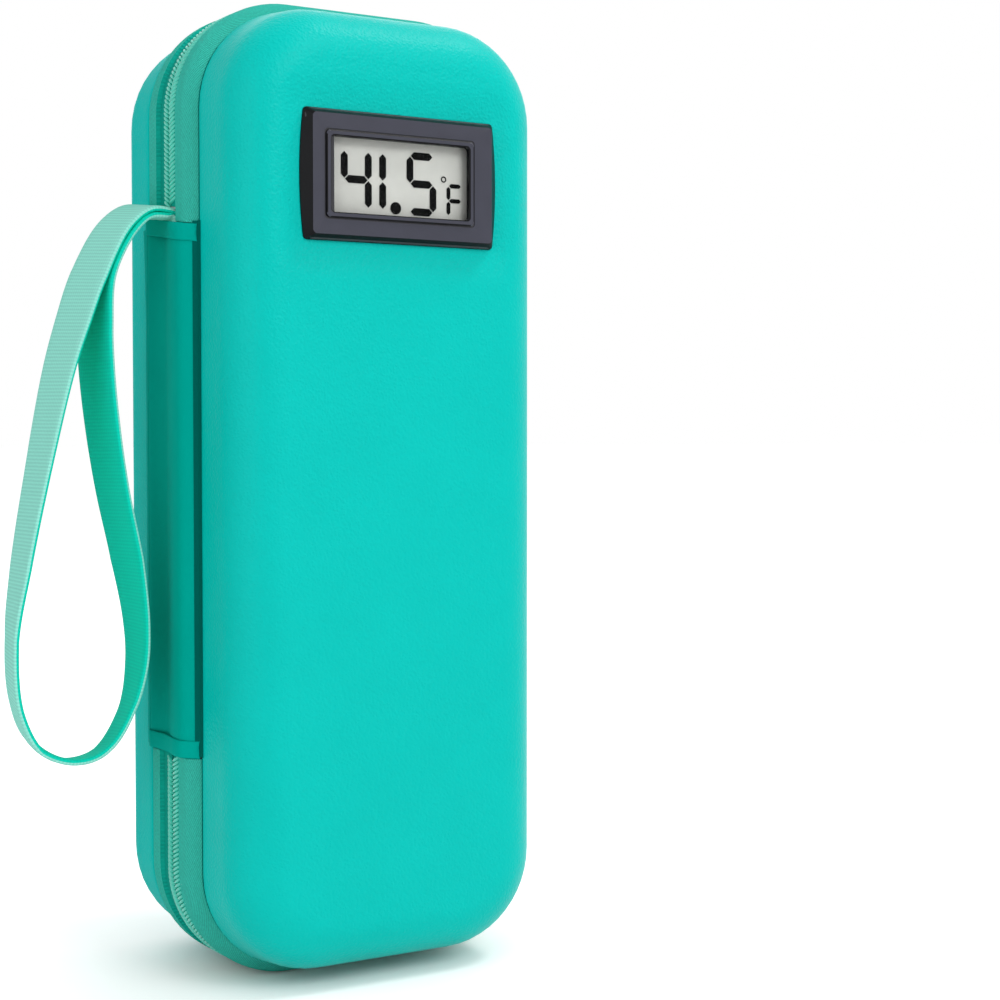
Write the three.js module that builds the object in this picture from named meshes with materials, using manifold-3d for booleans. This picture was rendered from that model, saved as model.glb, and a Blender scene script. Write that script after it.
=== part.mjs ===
// Insulin cooling case: a zipped clamshell with a thermometer in its lid.
// Millimetres, +Z up. The case stands on its short end, the lid faces -Y and
// the origin is the middle of the bottom, at mid depth.
import * as THREE from "three";
import { mergeVertices } from "three/addons/utils/BufferGeometryUtils.js";
import Module from "manifold-3d";

const wasm = await Module();
wasm.setup();

// Moulded shells
const CASE_WIDTH = 86;
const CASE_HEIGHT = 223;
const CASE_DEPTH = 67;
const CORNER_RADIUS = 26;
const FACE_FILLET = 11.6;
const WALL_DRAFT_DEG = 6;
const FRONT_SHELL_DEPTH = 19.2;
const REAR_SHELL_DEPTH = 23;
const FRONT_RIM_INSET = 2.7;
const REAR_RIM_INSET = 1.1;
const SHELL_WALL = 3;
const LINER_WALL = 6;
const CORNER_STEPS = 7;
const FILLET_STEPS = 5;

// Clearance between pieces that seat on each other
const FIT_GAP = 0.3;

// Zip round the top, the right side and the bottom
const ZIP_PLANE_Y = -3.6;
const ZIP_SLOT = 1.2;
const COIL_WIDTH = 2.4;
const COIL_THICKNESS = 1.6;
const TAPE_THICKNESS = 1.2;
const TAPE_ROLL = 4;
const TAPE_ROLL_DEG = 45;
const TAPE_ROLL_STEPS = 3;

// Spine panel that joins the two shells on the left
const SPINE_BOTTOM_Z = 52;
const SPINE_TOP_MARGIN = 50.5;
const SPINE_THICKNESS = 1.6;
const SPINE_BULGE = 0.6;
const SPINE_VALLEY = 1;
const SPINE_FOLD = 0.3;
const SPINE_STEPS = 24;
const HEM_HEIGHT = 4.2;
const HEM_SKIN = 0.6;
const HEM_PROUD = 0.75;
const HEM_ROLL = 4;

// Wrist strap: flat webbing, both ends stacked in the top hem
const WEBBING_WIDTH = 16;
const WEBBING_THICKNESS = 1.3;
const WEBBING_REAR_MARGIN = 0.6;
const STRAP_ARCH_HEIGHT = 4.5;
const STRAP_CROWN_X = -4;
const STRAP_STEPS = 80;
// Offsets in x and z from the middle of the hem's top slot
const STRAP_ROUTE = [
  [0.8, -1.0],
  [0.8, 0.5],
  [0.2, 2.0],
  [-2.5, 3.3],
  [-7.0, 3.2],
  [-12.4, -1.0],
  [-18.6, -12.5],
  [-22.2, -22.5],
  [-25.6, -33.5],
  [-30.9, -57.5],
  [-34.7, -77.5],
  [-36.8, -93.0],
  [-35.9, -107.8],
  [-31.8, -116.7],
  [-24.0, -121.0],
  [-16.4, -119.3],
  [-10.3, -110.6],
  [-7.8, -100.2],
  [-7.8, -90.5],
  [-9.9, -76.5],
  [-13.3, -60.5],
  [-15.5, -46.5],
  [-16.9, -32.5],
  [-17.1, -22.5],
  [-16.1, -12.5],
  [-11.4, -2.9],
  [-7.0, 1.6],
  [-2.8, 1.9],
  [-1.1, 1.6],
  [-0.8, 0.5],
  [-0.8, -1.0],
];

// Zip sliders, parked head to head on the right side
const SLIDER_LENGTH = 12;
const SLIDER_WIDTH = 9;
const SLIDER_PLATE = 1.4;
const SLIDER_INNER_PLATE = 1.2;
const SLIDER_NECK = 0.6;
const SLIDER_CORNER = 2.2;
const BAIL_WIDTH = 1.4;
const BAIL_BAR = 1.1;
const BAIL_LENGTH = 5.6;
const BAIL_END_MARGIN = 0.8;
const BAIL_WINDOW = 1.9;
const PULL_LENGTH = 13.4;
const PULL_WIDTH = 6;
const PULL_THICKNESS = 1.1;
const PULL_ARM = 1.2;
const PULL_EYE = 3.6;

// Thermometer module in the lid
const BEZEL_WIDTH = 48;
const BEZEL_HEIGHT = 28.6;
const BEZEL_PROUD = 2;
const BEZEL_CHAMFER = 1.4;
const BEZEL_EDGE = 0.6;
const BEZEL_CORNER = 1.6;
const BEZEL_FLANGE = 1.3;
const MODULE_TOP_MARGIN = 27.1;
const MODULE_WALL = 1.5;
const MODULE_FRONT = 1.2;
const WINDOW_WIDTH = 35.2;
const WINDOW_HEIGHT = 17.6;
const LENS_THICKNESS = 0.8;
const LCD_THICKNESS = 1.4;
const CONNECTOR_HEIGHT = 2.2;
const CONNECTOR_WIDTH = 1.8;
const BOARD_THICKNESS = 1;
const CONTACT_THICKNESS = 0.3;
const CONTACT_SIDE = 8;
const CELL_DIAMETER = 11.6;
const CELL_HEIGHT = 5.4;
const BACK_COVER_THICKNESS = 1.4;
const CELL_WELL_MARGIN = 0.7;
const BRIDGE_THICKNESS = 0.5;
const BRIDGE_HEIGHT = 5;
const DOOR_OVERLAP = 1.6;
const DOOR_THICKNESS = 1;
const DOOR_GRIP = 0.6;
const DOOR_GRIP_WIDTH = 2.6;
const RAIL_WALL = 1.2;
const RAIL_LIP = 0.8;
const BUTTON_DIAMETER = 3.6;
const BUTTON_FLANGE = 0.8;
const BUTTON_PROUD = 0.9;
const BUTTON_TRAVEL = 0.8;
const BUTTON_RISE = 5;
const SWITCH_SIDE = 4.4;
const SENSOR_DIAMETER = 2.8;
const SENSOR_PROUD = 3;
const SENSOR_DROP = 5.5;
const CLIP_DEPTH = 4.2;
const CLIP_REACH = 1.5;
const CLIP_HEIGHT = 8;
const LINER_WINDOW_MARGIN = 1.2;

// Gel ice packs and the elastic bands that hold them
const PACK_SIDE_GAP = 2.2;
const PACK_FLOOR_GAP = 3.5;
const PACK_MODULE_GAP = 4.1;
const PACK_THICKNESS = 11;
const PACK_BEVEL = 2.4;
const BAND_HEIGHT = 20;
const BAND_THICKNESS = 1;
const BAND_LEG = 4.4;
const BAND_SPREAD = 72;
const BAND_WALL_GAP = 0.8;

const ROUND_STEPS = 20;

// Levels worked out from the sizes above
const SIDE = CASE_WIDTH / 2;
const FACE_Y = CASE_DEPTH / 2;
const FRONT = {
  sign: -1,
  faceY: -FACE_Y,
  rimY: FRONT_SHELL_DEPTH - FACE_Y,
  depth: FRONT_SHELL_DEPTH,
  rimInset: FRONT_RIM_INSET,
};
const REAR = {
  sign: 1,
  faceY: FACE_Y,
  rimY: FACE_Y - REAR_SHELL_DEPTH,
  depth: REAR_SHELL_DEPTH,
  rimInset: REAR_RIM_INSET,
};
const LINER_OFFSET = SHELL_WALL + FIT_GAP;
const CHAMBER_OFFSET = LINER_OFFSET + LINER_WALL;
const SLOT_HALF = ZIP_SLOT / 2;
const COIL_EDGE = SLOT_HALF + COIL_WIDTH;
const SPINE_TOP_Z = CASE_HEIGHT - SPINE_TOP_MARGIN;
const SPINE_FRONT_Y = FRONT.rimY + FIT_GAP;
const SPINE_REAR_Y = REAR.rimY - FIT_GAP;
const STRAP_REAR_Y = SPINE_REAR_Y - WEBBING_REAR_MARGIN;
const STRAP_FRONT_Y = STRAP_REAR_Y - WEBBING_WIDTH;
const STRAP_STACK = 2 * WEBBING_THICKNESS + FIT_GAP;
const HEM_OUTER_X = -SIDE - HEM_PROUD;
const STRAP_SLOT_X = HEM_OUTER_X + HEM_SKIN + FIT_GAP + STRAP_STACK / 2;
const HEM_INNER_X = STRAP_SLOT_X + STRAP_STACK / 2 + FIT_GAP + HEM_SKIN;

const COLOURS = {
  shell: { color: 0x00b8b0, roughness: 0.55, metalness: 0 },
  tape: { color: 0x46d2be, roughness: 0.9, metalness: 0 },
  spine: { color: 0x009a8e, roughness: 0.6, metalness: 0 },
  webbing: { color: 0x7ddccd, roughness: 0.95, metalness: 0 },
  liner: { color: 0xc9ccd0, roughness: 0.35, metalness: 0.7 },
  pack: { color: 0x0055cd, roughness: 0.4, metalness: 0 },
  elastic: { color: 0x1d1d20, roughness: 0.95, metalness: 0 },
  housing: { color: 0x23232a, roughness: 0.45, metalness: 0 },
  lens: { color: 0xe8eef0, roughness: 0.05, metalness: 0 },
  lcd: { color: 0xc8cbc3, roughness: 0.3, metalness: 0 },
  board: { color: 0x1c6b3a, roughness: 0.5, metalness: 0 },
  metal: { color: 0xb9bcc0, roughness: 0.3, metalness: 1 },
  slider: { color: 0x2fb8a8, roughness: 0.4, metalness: 0.3 },
};

/** Makes a closed three.js geometry into a solid that can be cut and joined. */
function solidOf(geometry) {
  const loose = geometry.index ? geometry.toNonIndexed() : geometry;
  const bare = new THREE.BufferGeometry();
  bare.setAttribute("position", loose.getAttribute("position"));
  const merged = mergeVertices(bare, 1e-4);
  const mesh = new wasm.Mesh({
    numProp: 3,
    vertProperties: merged.getAttribute("position").array,
    triVerts: new Uint32Array(merged.index.array),
  });
  return new wasm.Manifold(mesh);
}

/** Gives a solid back as a three.js geometry. */
function geometryOf(solid) {
  const mesh = solid.getMesh();
  const geometry = new THREE.BufferGeometry();
  geometry.setAttribute("position", new THREE.BufferAttribute(mesh.vertProperties, 3));
  geometry.setIndex(new THREE.BufferAttribute(mesh.triVerts, 1));
  geometry.computeVertexNormals();
  return geometry;
}

/** A box between limits on the three axes. */
function block([x0, x1], [y0, y1], [z0, z1]) {
  const geometry = new THREE.BoxGeometry(x1 - x0, y1 - y0, z1 - z0);
  geometry.translate((x0 + x1) / 2, (y0 + y1) / 2, (z0 + z1) / 2);
  return solidOf(geometry);
}

/** A round bar along y. */
function barAlongY(diameter, x, z, [y0, y1]) {
  const geometry = new THREE.CylinderGeometry(diameter / 2, diameter / 2, y1 - y0, ROUND_STEPS);
  geometry.translate(x, (y0 + y1) / 2, z);
  return solidOf(geometry);
}

/** A shape drawn in x and z, extruded along y. */
function extrudeAlongY(shape, [y0, y1], options = {}) {
  const settings = { depth: y1 - y0, bevelEnabled: false, curveSegments: ROUND_STEPS, ...options };
  const geometry = new THREE.ExtrudeGeometry(shape, settings);
  geometry.rotateX(Math.PI / 2);
  geometry.translate(0, y1, 0);
  return solidOf(geometry);
}

/** A shape drawn in x and y, extruded along z. */
function extrudeAlongZ(shape, [z0, z1]) {
  const geometry = new THREE.ExtrudeGeometry(shape, { depth: z1 - z0, bevelEnabled: false });
  geometry.translate(0, 0, z0);
  return solidOf(geometry);
}

/** A shape drawn in y and z, extruded along x. */
function extrudeAlongX(shape, [x0, x1]) {
  const settings = { depth: x1 - x0, bevelEnabled: false, curveSegments: CORNER_STEPS };
  const geometry = new THREE.ExtrudeGeometry(shape, settings);
  const toX = new THREE.Matrix4().makeBasis(
    new THREE.Vector3(0, 1, 0),
    new THREE.Vector3(0, 0, 1),
    new THREE.Vector3(1, 0, 0),
  );
  geometry.applyMatrix4(toX);
  geometry.translate(x0, 0, 0);
  return solidOf(geometry);
}

/** A rectangle with round corners as a shape. */
function roundedShape(width, height, radius, centreX = 0, centreY = 0) {
  const left = centreX - width / 2;
  const right = centreX + width / 2;
  const low = centreY - height / 2;
  const high = centreY + height / 2;
  const shape = new THREE.Shape();
  shape.moveTo(left + radius, low);
  shape.lineTo(right - radius, low);
  shape.absarc(right - radius, low + radius, radius, -Math.PI / 2, 0, false);
  shape.lineTo(right, high - radius);
  shape.absarc(right - radius, high - radius, radius, 0, Math.PI / 2, false);
  shape.lineTo(left + radius, high);
  shape.absarc(left + radius, high - radius, radius, Math.PI / 2, Math.PI, false);
  shape.lineTo(left, low + radius);
  shape.absarc(left + radius, low + radius, radius, Math.PI, 1.5 * Math.PI, false);
  return shape;
}

/** The points of a round-cornered outline in the xz plane, at one depth. */
function outlineRing(width, height, radius, centreZ, y) {
  const corners = [
    [width / 2 - radius, height / 2 - radius],
    [radius - width / 2, height / 2 - radius],
    [radius - width / 2, radius - height / 2],
    [width / 2 - radius, radius - height / 2],
  ];
  return corners.flatMap(([x, z], quarter) =>
    Array.from({ length: CORNER_STEPS + 1 }, (_, step) => {
      const angle = (quarter + step / CORNER_STEPS) * (Math.PI / 2);
      return new THREE.Vector3(x + radius * Math.cos(angle), y, centreZ + z + radius * Math.sin(angle));
    }),
  );
}

/** The case's outline drawn in by an inset. */
function caseRing(inset, y) {
  const width = CASE_WIDTH - 2 * inset;
  const height = CASE_HEIGHT - 2 * inset;
  return outlineRing(width, height, CORNER_RADIUS - inset, CASE_HEIGHT / 2, y);
}

/** Joins convex rings of equal count into a closed solid, with flat ends. */
function loft(rings) {
  const count = rings[0].length;
  const positions = rings.flat().flatMap((point) => point.toArray());
  const rising = rings[rings.length - 1][0].y > rings[0][0].y;
  const index = [];
  const triangle = (a, b, c) => (rising ? index.push(a, b, c) : index.push(a, c, b));
  for (let ring = 0; ring + 1 < rings.length; ring++) {
    for (let step = 0; step < count; step++) {
      const next = (step + 1) % count;
      const low = ring * count;
      const high = low + count;
      triangle(low + step, high + step, low + next);
      triangle(low + next, high + step, high + next);
    }
  }
  const last = (rings.length - 1) * count;
  for (let step = 1; step + 1 < count; step++) {
    triangle(0, step, step + 1);
    triangle(last, last + step + 1, last + step);
  }
  const geometry = new THREE.BufferGeometry();
  geometry.setAttribute("position", new THREE.Float32BufferAttribute(positions, 3));
  geometry.setIndex(index);
  return solidOf(geometry);
}

/** The inset of a half's wall at the start of its face fillet. */
function wallInset(half) {
  const straight = half.depth - FACE_FILLET;
  return half.rimInset + straight * Math.tan(THREE.MathUtils.degToRad(WALL_DRAFT_DEG));
}

/** The space inside a half's outer surface moved in by an offset, open at a depth. */
function cup(half, offset, openY) {
  const inset = wallInset(half);
  const centreY = half.faceY - half.sign * FACE_FILLET;
  const radius = FACE_FILLET - offset;
  const rings = [caseRing(half.rimInset + offset, openY)];
  if (Math.abs(openY - half.rimY) > 1e-6) rings.push(caseRing(half.rimInset + offset, half.rimY));
  for (let step = 0; step <= FILLET_STEPS; step++) {
    const angle = (step / FILLET_STEPS) * (Math.PI / 2);
    const y = centreY + half.sign * radius * Math.sin(angle);
    rings.push(caseRing(inset + FACE_FILLET - radius * Math.cos(angle), y));
  }
  return loft(rings);
}

/** A band that runs round the case's outline between two depths. */
function outlineBand([y0, y1], thickness) {
  const outer = loft([caseRing(0, y0), caseRing(0, y1)]);
  const inner = loft([caseRing(thickness, y0 - 1), caseRing(thickness, y1 + 1)]);
  return outer.subtract(inner);
}

/** A half's zip tape: flat beside the coil, rolled in to the shell's rim at its outer edge. */
function tapeBand(half) {
  const coilY = ZIP_PLANE_Y + half.sign * (COIL_EDGE + FIT_GAP);
  const rimY = half.rimY - half.sign * FIT_GAP;
  const rollY = rimY - half.sign * TAPE_ROLL;
  const sweep = THREE.MathUtils.degToRad(TAPE_ROLL_DEG);
  const profile = [[coilY, 0]];
  for (let step = 0; step <= TAPE_ROLL_STEPS; step++) {
    const angle = (step / TAPE_ROLL_STEPS) * sweep;
    const along = Math.sin(angle) / Math.sin(sweep);
    const drawnIn = (1 - Math.cos(angle)) / (1 - Math.cos(sweep));
    profile.push([rollY + half.sign * TAPE_ROLL * along, half.rimInset * drawnIn]);
  }
  const outer = loft(profile.map(([y, inset]) => caseRing(inset, y)));
  const under = [
    [coilY - half.sign, 0],
    ...profile,
    [rimY + half.sign, half.rimInset],
  ];
  return outer.subtract(loft(under.map(([y, inset]) => caseRing(inset + TAPE_THICKNESS, y))));
}

/** A cut through the left side, between two heights. */
function leftCut([z0, z1]) {
  const reach = CORNER_RADIUS / 2;
  return block([-SIDE - reach, -SIDE + reach], [-CASE_DEPTH, CASE_DEPTH], [z0, z1]);
}

const object = new THREE.Group();
const palette = Object.fromEntries(
  Object.entries(COLOURS).map(([name, look]) => [name, () => new THREE.MeshStandardMaterial(look)]),
);

/** Adds a named piece to the object. */
function place(name, look, solid) {
  const mesh = new THREE.Mesh(geometryOf(solid), palette[look]());
  mesh.name = name;
  object.add(mesh);
}

// Levels of the thermometer, from its face to its back
const MODULE_CENTRE_Z = CASE_HEIGHT - MODULE_TOP_MARGIN - BEZEL_HEIGHT / 2;
const BODY_WIDTH = BEZEL_WIDTH - 2 * BEZEL_FLANGE;
const BODY_HEIGHT = BEZEL_HEIGHT - 2 * BEZEL_FLANGE;
const WELL_WIDTH = BODY_WIDTH - 2 * MODULE_WALL;
const WELL_HEIGHT = BODY_HEIGHT - 2 * MODULE_WALL;
const BEZEL_BACK_Y = FRONT.faceY - FIT_GAP;
const BEZEL_FRONT_Y = BEZEL_BACK_Y - BEZEL_PROUD;
const WELL_FRONT_Y = BEZEL_FRONT_Y + MODULE_FRONT;
const LENS_Y = [WELL_FRONT_Y + FIT_GAP, WELL_FRONT_Y + FIT_GAP + LENS_THICKNESS];
const LCD_Y = [LENS_Y[1] + FIT_GAP, LENS_Y[1] + FIT_GAP + LCD_THICKNESS];
const CONNECTOR_Y = [LCD_Y[1] + FIT_GAP, LCD_Y[1] + FIT_GAP + CONNECTOR_HEIGHT];
const BOARD_Y = [CONNECTOR_Y[1] + FIT_GAP, CONNECTOR_Y[1] + FIT_GAP + BOARD_THICKNESS];
const CONTACT_Y = [BOARD_Y[1] + FIT_GAP, BOARD_Y[1] + FIT_GAP + CONTACT_THICKNESS];
const CELL_Y = [CONTACT_Y[1] + FIT_GAP, CONTACT_Y[1] + FIT_GAP + CELL_HEIGHT];
const BRIDGE_Y = [CELL_Y[1] + FIT_GAP, CELL_Y[1] + FIT_GAP + BRIDGE_THICKNESS];
const COVER_Y = [BRIDGE_Y[1] + FIT_GAP - BACK_COVER_THICKNESS, BRIDGE_Y[1] + FIT_GAP];
const DOOR_Y = [COVER_Y[1] + FIT_GAP, COVER_Y[1] + FIT_GAP + DOOR_THICKNESS];
const CELL_SPACING = CELL_DIAMETER + 2 * FIT_GAP;
const CELL_WELL_WIDTH = CELL_SPACING + CELL_DIAMETER + 2 * CELL_WELL_MARGIN;
const CELL_WELL_HEIGHT = CELL_DIAMETER + 2 * CELL_WELL_MARGIN;
const DOOR_WIDTH = CELL_WELL_WIDTH + 2 * DOOR_OVERLAP;
const DOOR_HEIGHT = CELL_WELL_HEIGHT + 2 * DOOR_OVERLAP;
const DOOR_STOP_X = DOOR_WIDTH / 2 + FIT_GAP;
const BUTTON_X = (DOOR_STOP_X + RAIL_WALL + WELL_WIDTH / 2) / 2;
const BUTTON_FLANGE_Y = [COVER_Y[0] - FIT_GAP - BUTTON_FLANGE, COVER_Y[0] - FIT_GAP];

// Chamber behind the liners, the ice packs in it and the bands beside them
const BAND_INSET = CHAMBER_OFFSET + BAND_WALL_GAP;
const PACK_INSET = FRONT_RIM_INSET + BAND_INSET + BAND_THICKNESS + PACK_SIDE_GAP;
const PACK_WIDTH = CASE_WIDTH - 2 * PACK_INSET;
const FRONT_PACK_Z0 = FRONT_RIM_INSET + CHAMBER_OFFSET + PACK_FLOOR_GAP;
const FRONT_PACK_Z1 = MODULE_CENTRE_Z - BODY_HEIGHT / 2 - PACK_MODULE_GAP;
const PACK_LENGTH = FRONT_PACK_Z1 - FRONT_PACK_Z0;

/** A block centred on the thermometer across x and z. */
function moduleBlock(width, height, depths, x = 0, rise = 0) {
  const z = MODULE_CENTRE_Z + rise;
  return block([x - width / 2, x + width / 2], depths, [z - height / 2, z + height / 2]);
}

/** The two moulded shells and the foam liners inside them. */
function addShells() {
  for (const [name, half] of [["front", FRONT], ["rear", REAR]]) {
    const beyondRim = half.rimY - half.sign;
    const linerRimY = ZIP_PLANE_Y + half.sign * FIT_GAP;
    let shell = cup(half, 0, half.rimY).subtract(cup(half, SHELL_WALL, beyondRim));
    let liner = cup(half, LINER_OFFSET, linerRimY).subtract(cup(half, CHAMBER_OFFSET, linerRimY - half.sign));
    if (half === FRONT) {
      const through = [half.faceY - 1, half.faceY + CHAMBER_OFFSET + FACE_FILLET / 2];
      const clipRoom = 2 * (CLIP_REACH + FIT_GAP + LINER_WINDOW_MARGIN);
      shell = shell.subtract(moduleBlock(BODY_WIDTH + 2 * FIT_GAP, BODY_HEIGHT + 2 * FIT_GAP, through));
      liner = liner.subtract(
        moduleBlock(BODY_WIDTH + clipRoom, BODY_HEIGHT + 2 * LINER_WINDOW_MARGIN, through),
      );
    }
    place(`${name}_shell`, "shell", shell);
    place(`${name}_liner`, "liner", liner);
  }
}

/** The two zip tapes and the coil on each tape's edge. */
function addZip() {
  const underHems = leftCut([SPINE_BOTTOM_Z - FIT_GAP, SPINE_TOP_Z + FIT_GAP]);
  const underStrap = leftCut([SPINE_BOTTOM_Z - FIT_GAP, SPINE_TOP_Z + STRAP_ARCH_HEIGHT]);
  const frontCoil = outlineBand([ZIP_PLANE_Y - COIL_EDGE, ZIP_PLANE_Y - SLOT_HALF], COIL_THICKNESS);
  const rearCoil = outlineBand([ZIP_PLANE_Y + SLOT_HALF, ZIP_PLANE_Y + COIL_EDGE], COIL_THICKNESS);
  place("zip_tape_front", "tape", tapeBand(FRONT).subtract(underHems));
  place("zip_tape_rear", "tape", tapeBand(REAR).subtract(underStrap));
  place("zip_coil_front", "tape", frontCoil.subtract(underStrap));
  place("zip_coil_rear", "tape", rearCoil.subtract(underStrap));
}

/** The spine panel's section: rolled in at the front rim, bulged, hollow and folded at the rear rim. */
function spineSection() {
  const width = SPINE_REAR_Y - SPINE_FRONT_Y;
  const chosen = [
    [0, -FRONT_RIM_INSET],
    [0.06, -0.35 * FRONT_RIM_INSET],
    [0.14, 0.6 * SPINE_BULGE],
    [0.28, SPINE_BULGE],
    [0.44, 0],
    [0.62, -SPINE_VALLEY],
    [0.8, -0.5 * SPINE_VALLEY],
    [0.93, SPINE_FOLD],
    [1, -REAR_RIM_INSET],
  ];
  const knots = chosen.map(([share, out]) => new THREE.Vector2(-SIDE - out, SPINE_FRONT_Y + share * width));
  const outer = new THREE.SplineCurve(knots).getPoints(SPINE_STEPS);
  const inner = outer.map(({ x, y }) => new THREE.Vector2(x + SPINE_THICKNESS, y)).reverse();
  return new THREE.Shape([...outer, ...inner]);
}

/** A hem's section: a folded strip with its front edge rolled in to the front rim. */
function hemSection() {
  return new THREE.Shape([
    new THREE.Vector2(HEM_INNER_X, SPINE_FRONT_Y),
    new THREE.Vector2(HEM_INNER_X, SPINE_REAR_Y),
    new THREE.Vector2(HEM_OUTER_X, SPINE_REAR_Y),
    new THREE.Vector2(HEM_OUTER_X, SPINE_FRONT_Y + HEM_ROLL),
    new THREE.Vector2(-SIDE + FRONT_RIM_INSET, SPINE_FRONT_Y),
  ]);
}

/** The spine panel, its two hems and the strap's stitched ends in the top hem. */
function addSpine() {
  const low = SPINE_BOTTOM_Z + HEM_HEIGHT;
  const high = SPINE_TOP_Z - HEM_HEIGHT;
  const slotFloor = high + FIT_GAP + HEM_SKIN;
  const slot = block(
    [HEM_OUTER_X + HEM_SKIN, HEM_INNER_X - HEM_SKIN],
    [STRAP_FRONT_Y - FIT_GAP, STRAP_REAR_Y + FIT_GAP],
    [slotFloor, SPINE_TOP_Z + 1],
  );
  place("spine_panel", "spine", extrudeAlongZ(spineSection(), [low, high]));
  place("spine_hem_top", "spine", extrudeAlongZ(hemSection(), [high + FIT_GAP, SPINE_TOP_Z]).subtract(slot));
  place("spine_hem_bottom", "spine", extrudeAlongZ(hemSection(), [SPINE_BOTTOM_Z, low - FIT_GAP]));
  const anchor = block(
    [STRAP_SLOT_X - STRAP_STACK / 2, STRAP_SLOT_X + STRAP_STACK / 2],
    [STRAP_FRONT_Y, STRAP_REAR_Y],
    [slotFloor + FIT_GAP, SPINE_TOP_Z],
  );
  addStrap(anchor);
}

/** The webbing: its root, sewn to the anchor in the hem, and the loop that hangs from the arch's crown. */
function addStrap(anchor) {
  const points = STRAP_ROUTE.map(([x, z]) => new THREE.Vector3(STRAP_SLOT_X + x, 0, SPINE_TOP_Z + z));
  const route = new THREE.CatmullRomCurve3(points, false, "centripetal");
  const left = [];
  const right = [];
  for (let step = 0; step <= STRAP_STEPS; step++) {
    const along = step / STRAP_STEPS;
    const point = route.getPointAt(along);
    const heading = route.getTangentAt(along);
    if (step === 0) heading.set(0, 0, 1);
    if (step === STRAP_STEPS) heading.set(0, 0, -1);
    const half = WEBBING_THICKNESS / 2;
    left.push(new THREE.Vector2(point.x - heading.z * half, point.z + heading.x * half));
    right.push(new THREE.Vector2(point.x + heading.z * half, point.z - heading.x * half));
  }
  const outline = new THREE.Shape([...left, ...right.reverse()]);
  const ribbon = extrudeAlongY(outline, [STRAP_FRONT_Y, STRAP_REAR_Y]);
  const crownX = STRAP_SLOT_X + STRAP_CROWN_X;
  const beside = [-CASE_DEPTH, CASE_DEPTH];
  const heights = [-CASE_HEIGHT, 2 * CASE_HEIGHT];
  const rootSide = block([crownX, CASE_WIDTH], beside, heights);
  const loopSide = block([-3 * CASE_WIDTH, crownX - FIT_GAP], beside, heights);
  place("strap_root", "webbing", ribbon.intersect(rootSide).add(anchor));
  place("wrist_strap", "webbing", ribbon.intersect(loopSide));
}

/** One zip slider with its pull: up is 1 for the upper slider and -1 for the lower. */
function addSlider(name, up) {
  const meetZ = CASE_HEIGHT / 2;
  const headZ = meetZ + up * FIT_GAP;
  const tailZ = headZ + up * SLIDER_LENGTH;
  const z = [Math.min(headZ, tailZ), Math.max(headZ, tailZ)];
  const plateX = SIDE + FIT_GAP;
  const plateOuterX = plateX + SLIDER_PLATE;
  const innerX = SIDE - COIL_THICKNESS - FIT_GAP;
  const middleZ = (z[0] + z[1]) / 2;
  const outline = roundedShape(SLIDER_WIDTH, SLIDER_LENGTH, SLIDER_CORNER, ZIP_PLANE_Y, middleZ);
  const innerOutline = roundedShape(2 * COIL_EDGE, SLIDER_LENGTH, SLIDER_CORNER, ZIP_PLANE_Y, middleZ);
  const neckY = [ZIP_PLANE_Y - SLIDER_NECK / 2, ZIP_PLANE_Y + SLIDER_NECK / 2];
  const bailY = [ZIP_PLANE_Y - BAIL_WIDTH / 2, ZIP_PLANE_Y + BAIL_WIDTH / 2];
  const bailEdge = tailZ - up * BAIL_END_MARGIN;
  const bailFar = bailEdge - up * BAIL_LENGTH;
  const bailZ = [Math.min(bailEdge, bailFar), Math.max(bailEdge, bailFar)];
  const bailTopX = plateOuterX + BAIL_WINDOW;
  const sunk = SLIDER_PLATE / 2;
  const arch = block([plateOuterX - sunk, bailTopX + BAIL_BAR], bailY, bailZ);
  const window = block([plateOuterX, bailTopX], [bailY[0] - 1, bailY[1] + 1], [
    bailZ[0] + BAIL_BAR,
    bailZ[1] - BAIL_BAR,
  ]);
  const slider = extrudeAlongX(outline, [plateX, plateOuterX])
    .add(extrudeAlongX(innerOutline, [innerX - SLIDER_INNER_PLATE, innerX]))
    .add(block([innerX - sunk, plateX + sunk], neckY, [z[0] + SLIDER_CORNER, z[1] - SLIDER_CORNER]))
    .add(arch.subtract(window));
  place(`zip_slider_${name}`, "slider", slider);

  const pivotX = plateOuterX + BAIL_WINDOW / 2;
  const pivotZ = bailZ[0] + BAIL_BAR + FIT_GAP + PULL_THICKNESS / 2;
  const pullX = [pivotX - PULL_THICKNESS / 2, pivotX + PULL_THICKNESS / 2];
  const pullZ = [pivotZ - PULL_LENGTH, pivotZ + PULL_THICKNESS / 2];
  const armWidth = BAIL_WIDTH + 2 * (FIT_GAP + PULL_ARM);
  const armRoot = pivotZ - PULL_EYE - PULL_ARM;
  const eyeHalf = BAIL_WIDTH / 2 + FIT_GAP;
  const eye = block(
    [pullX[0] - 1, pullX[1] + 1],
    [ZIP_PLANE_Y - eyeHalf, ZIP_PLANE_Y + eyeHalf],
    [pivotZ - PULL_EYE, pivotZ - PULL_THICKNESS / 2],
  );
  const tab = roundedShape(
    PULL_WIDTH,
    armRoot + PULL_ARM / 2 - pullZ[0],
    SLIDER_CORNER,
    ZIP_PLANE_Y,
    (armRoot + PULL_ARM / 2 + pullZ[0]) / 2,
  );
  const arms = block(
    pullX,
    [ZIP_PLANE_Y - armWidth / 2, ZIP_PLANE_Y + armWidth / 2],
    [armRoot - PULL_ARM, pullZ[1]],
  );
  place(`zip_pull_${name}`, "slider", arms.subtract(eye).add(extrudeAlongX(tab, pullX)));
}

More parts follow.
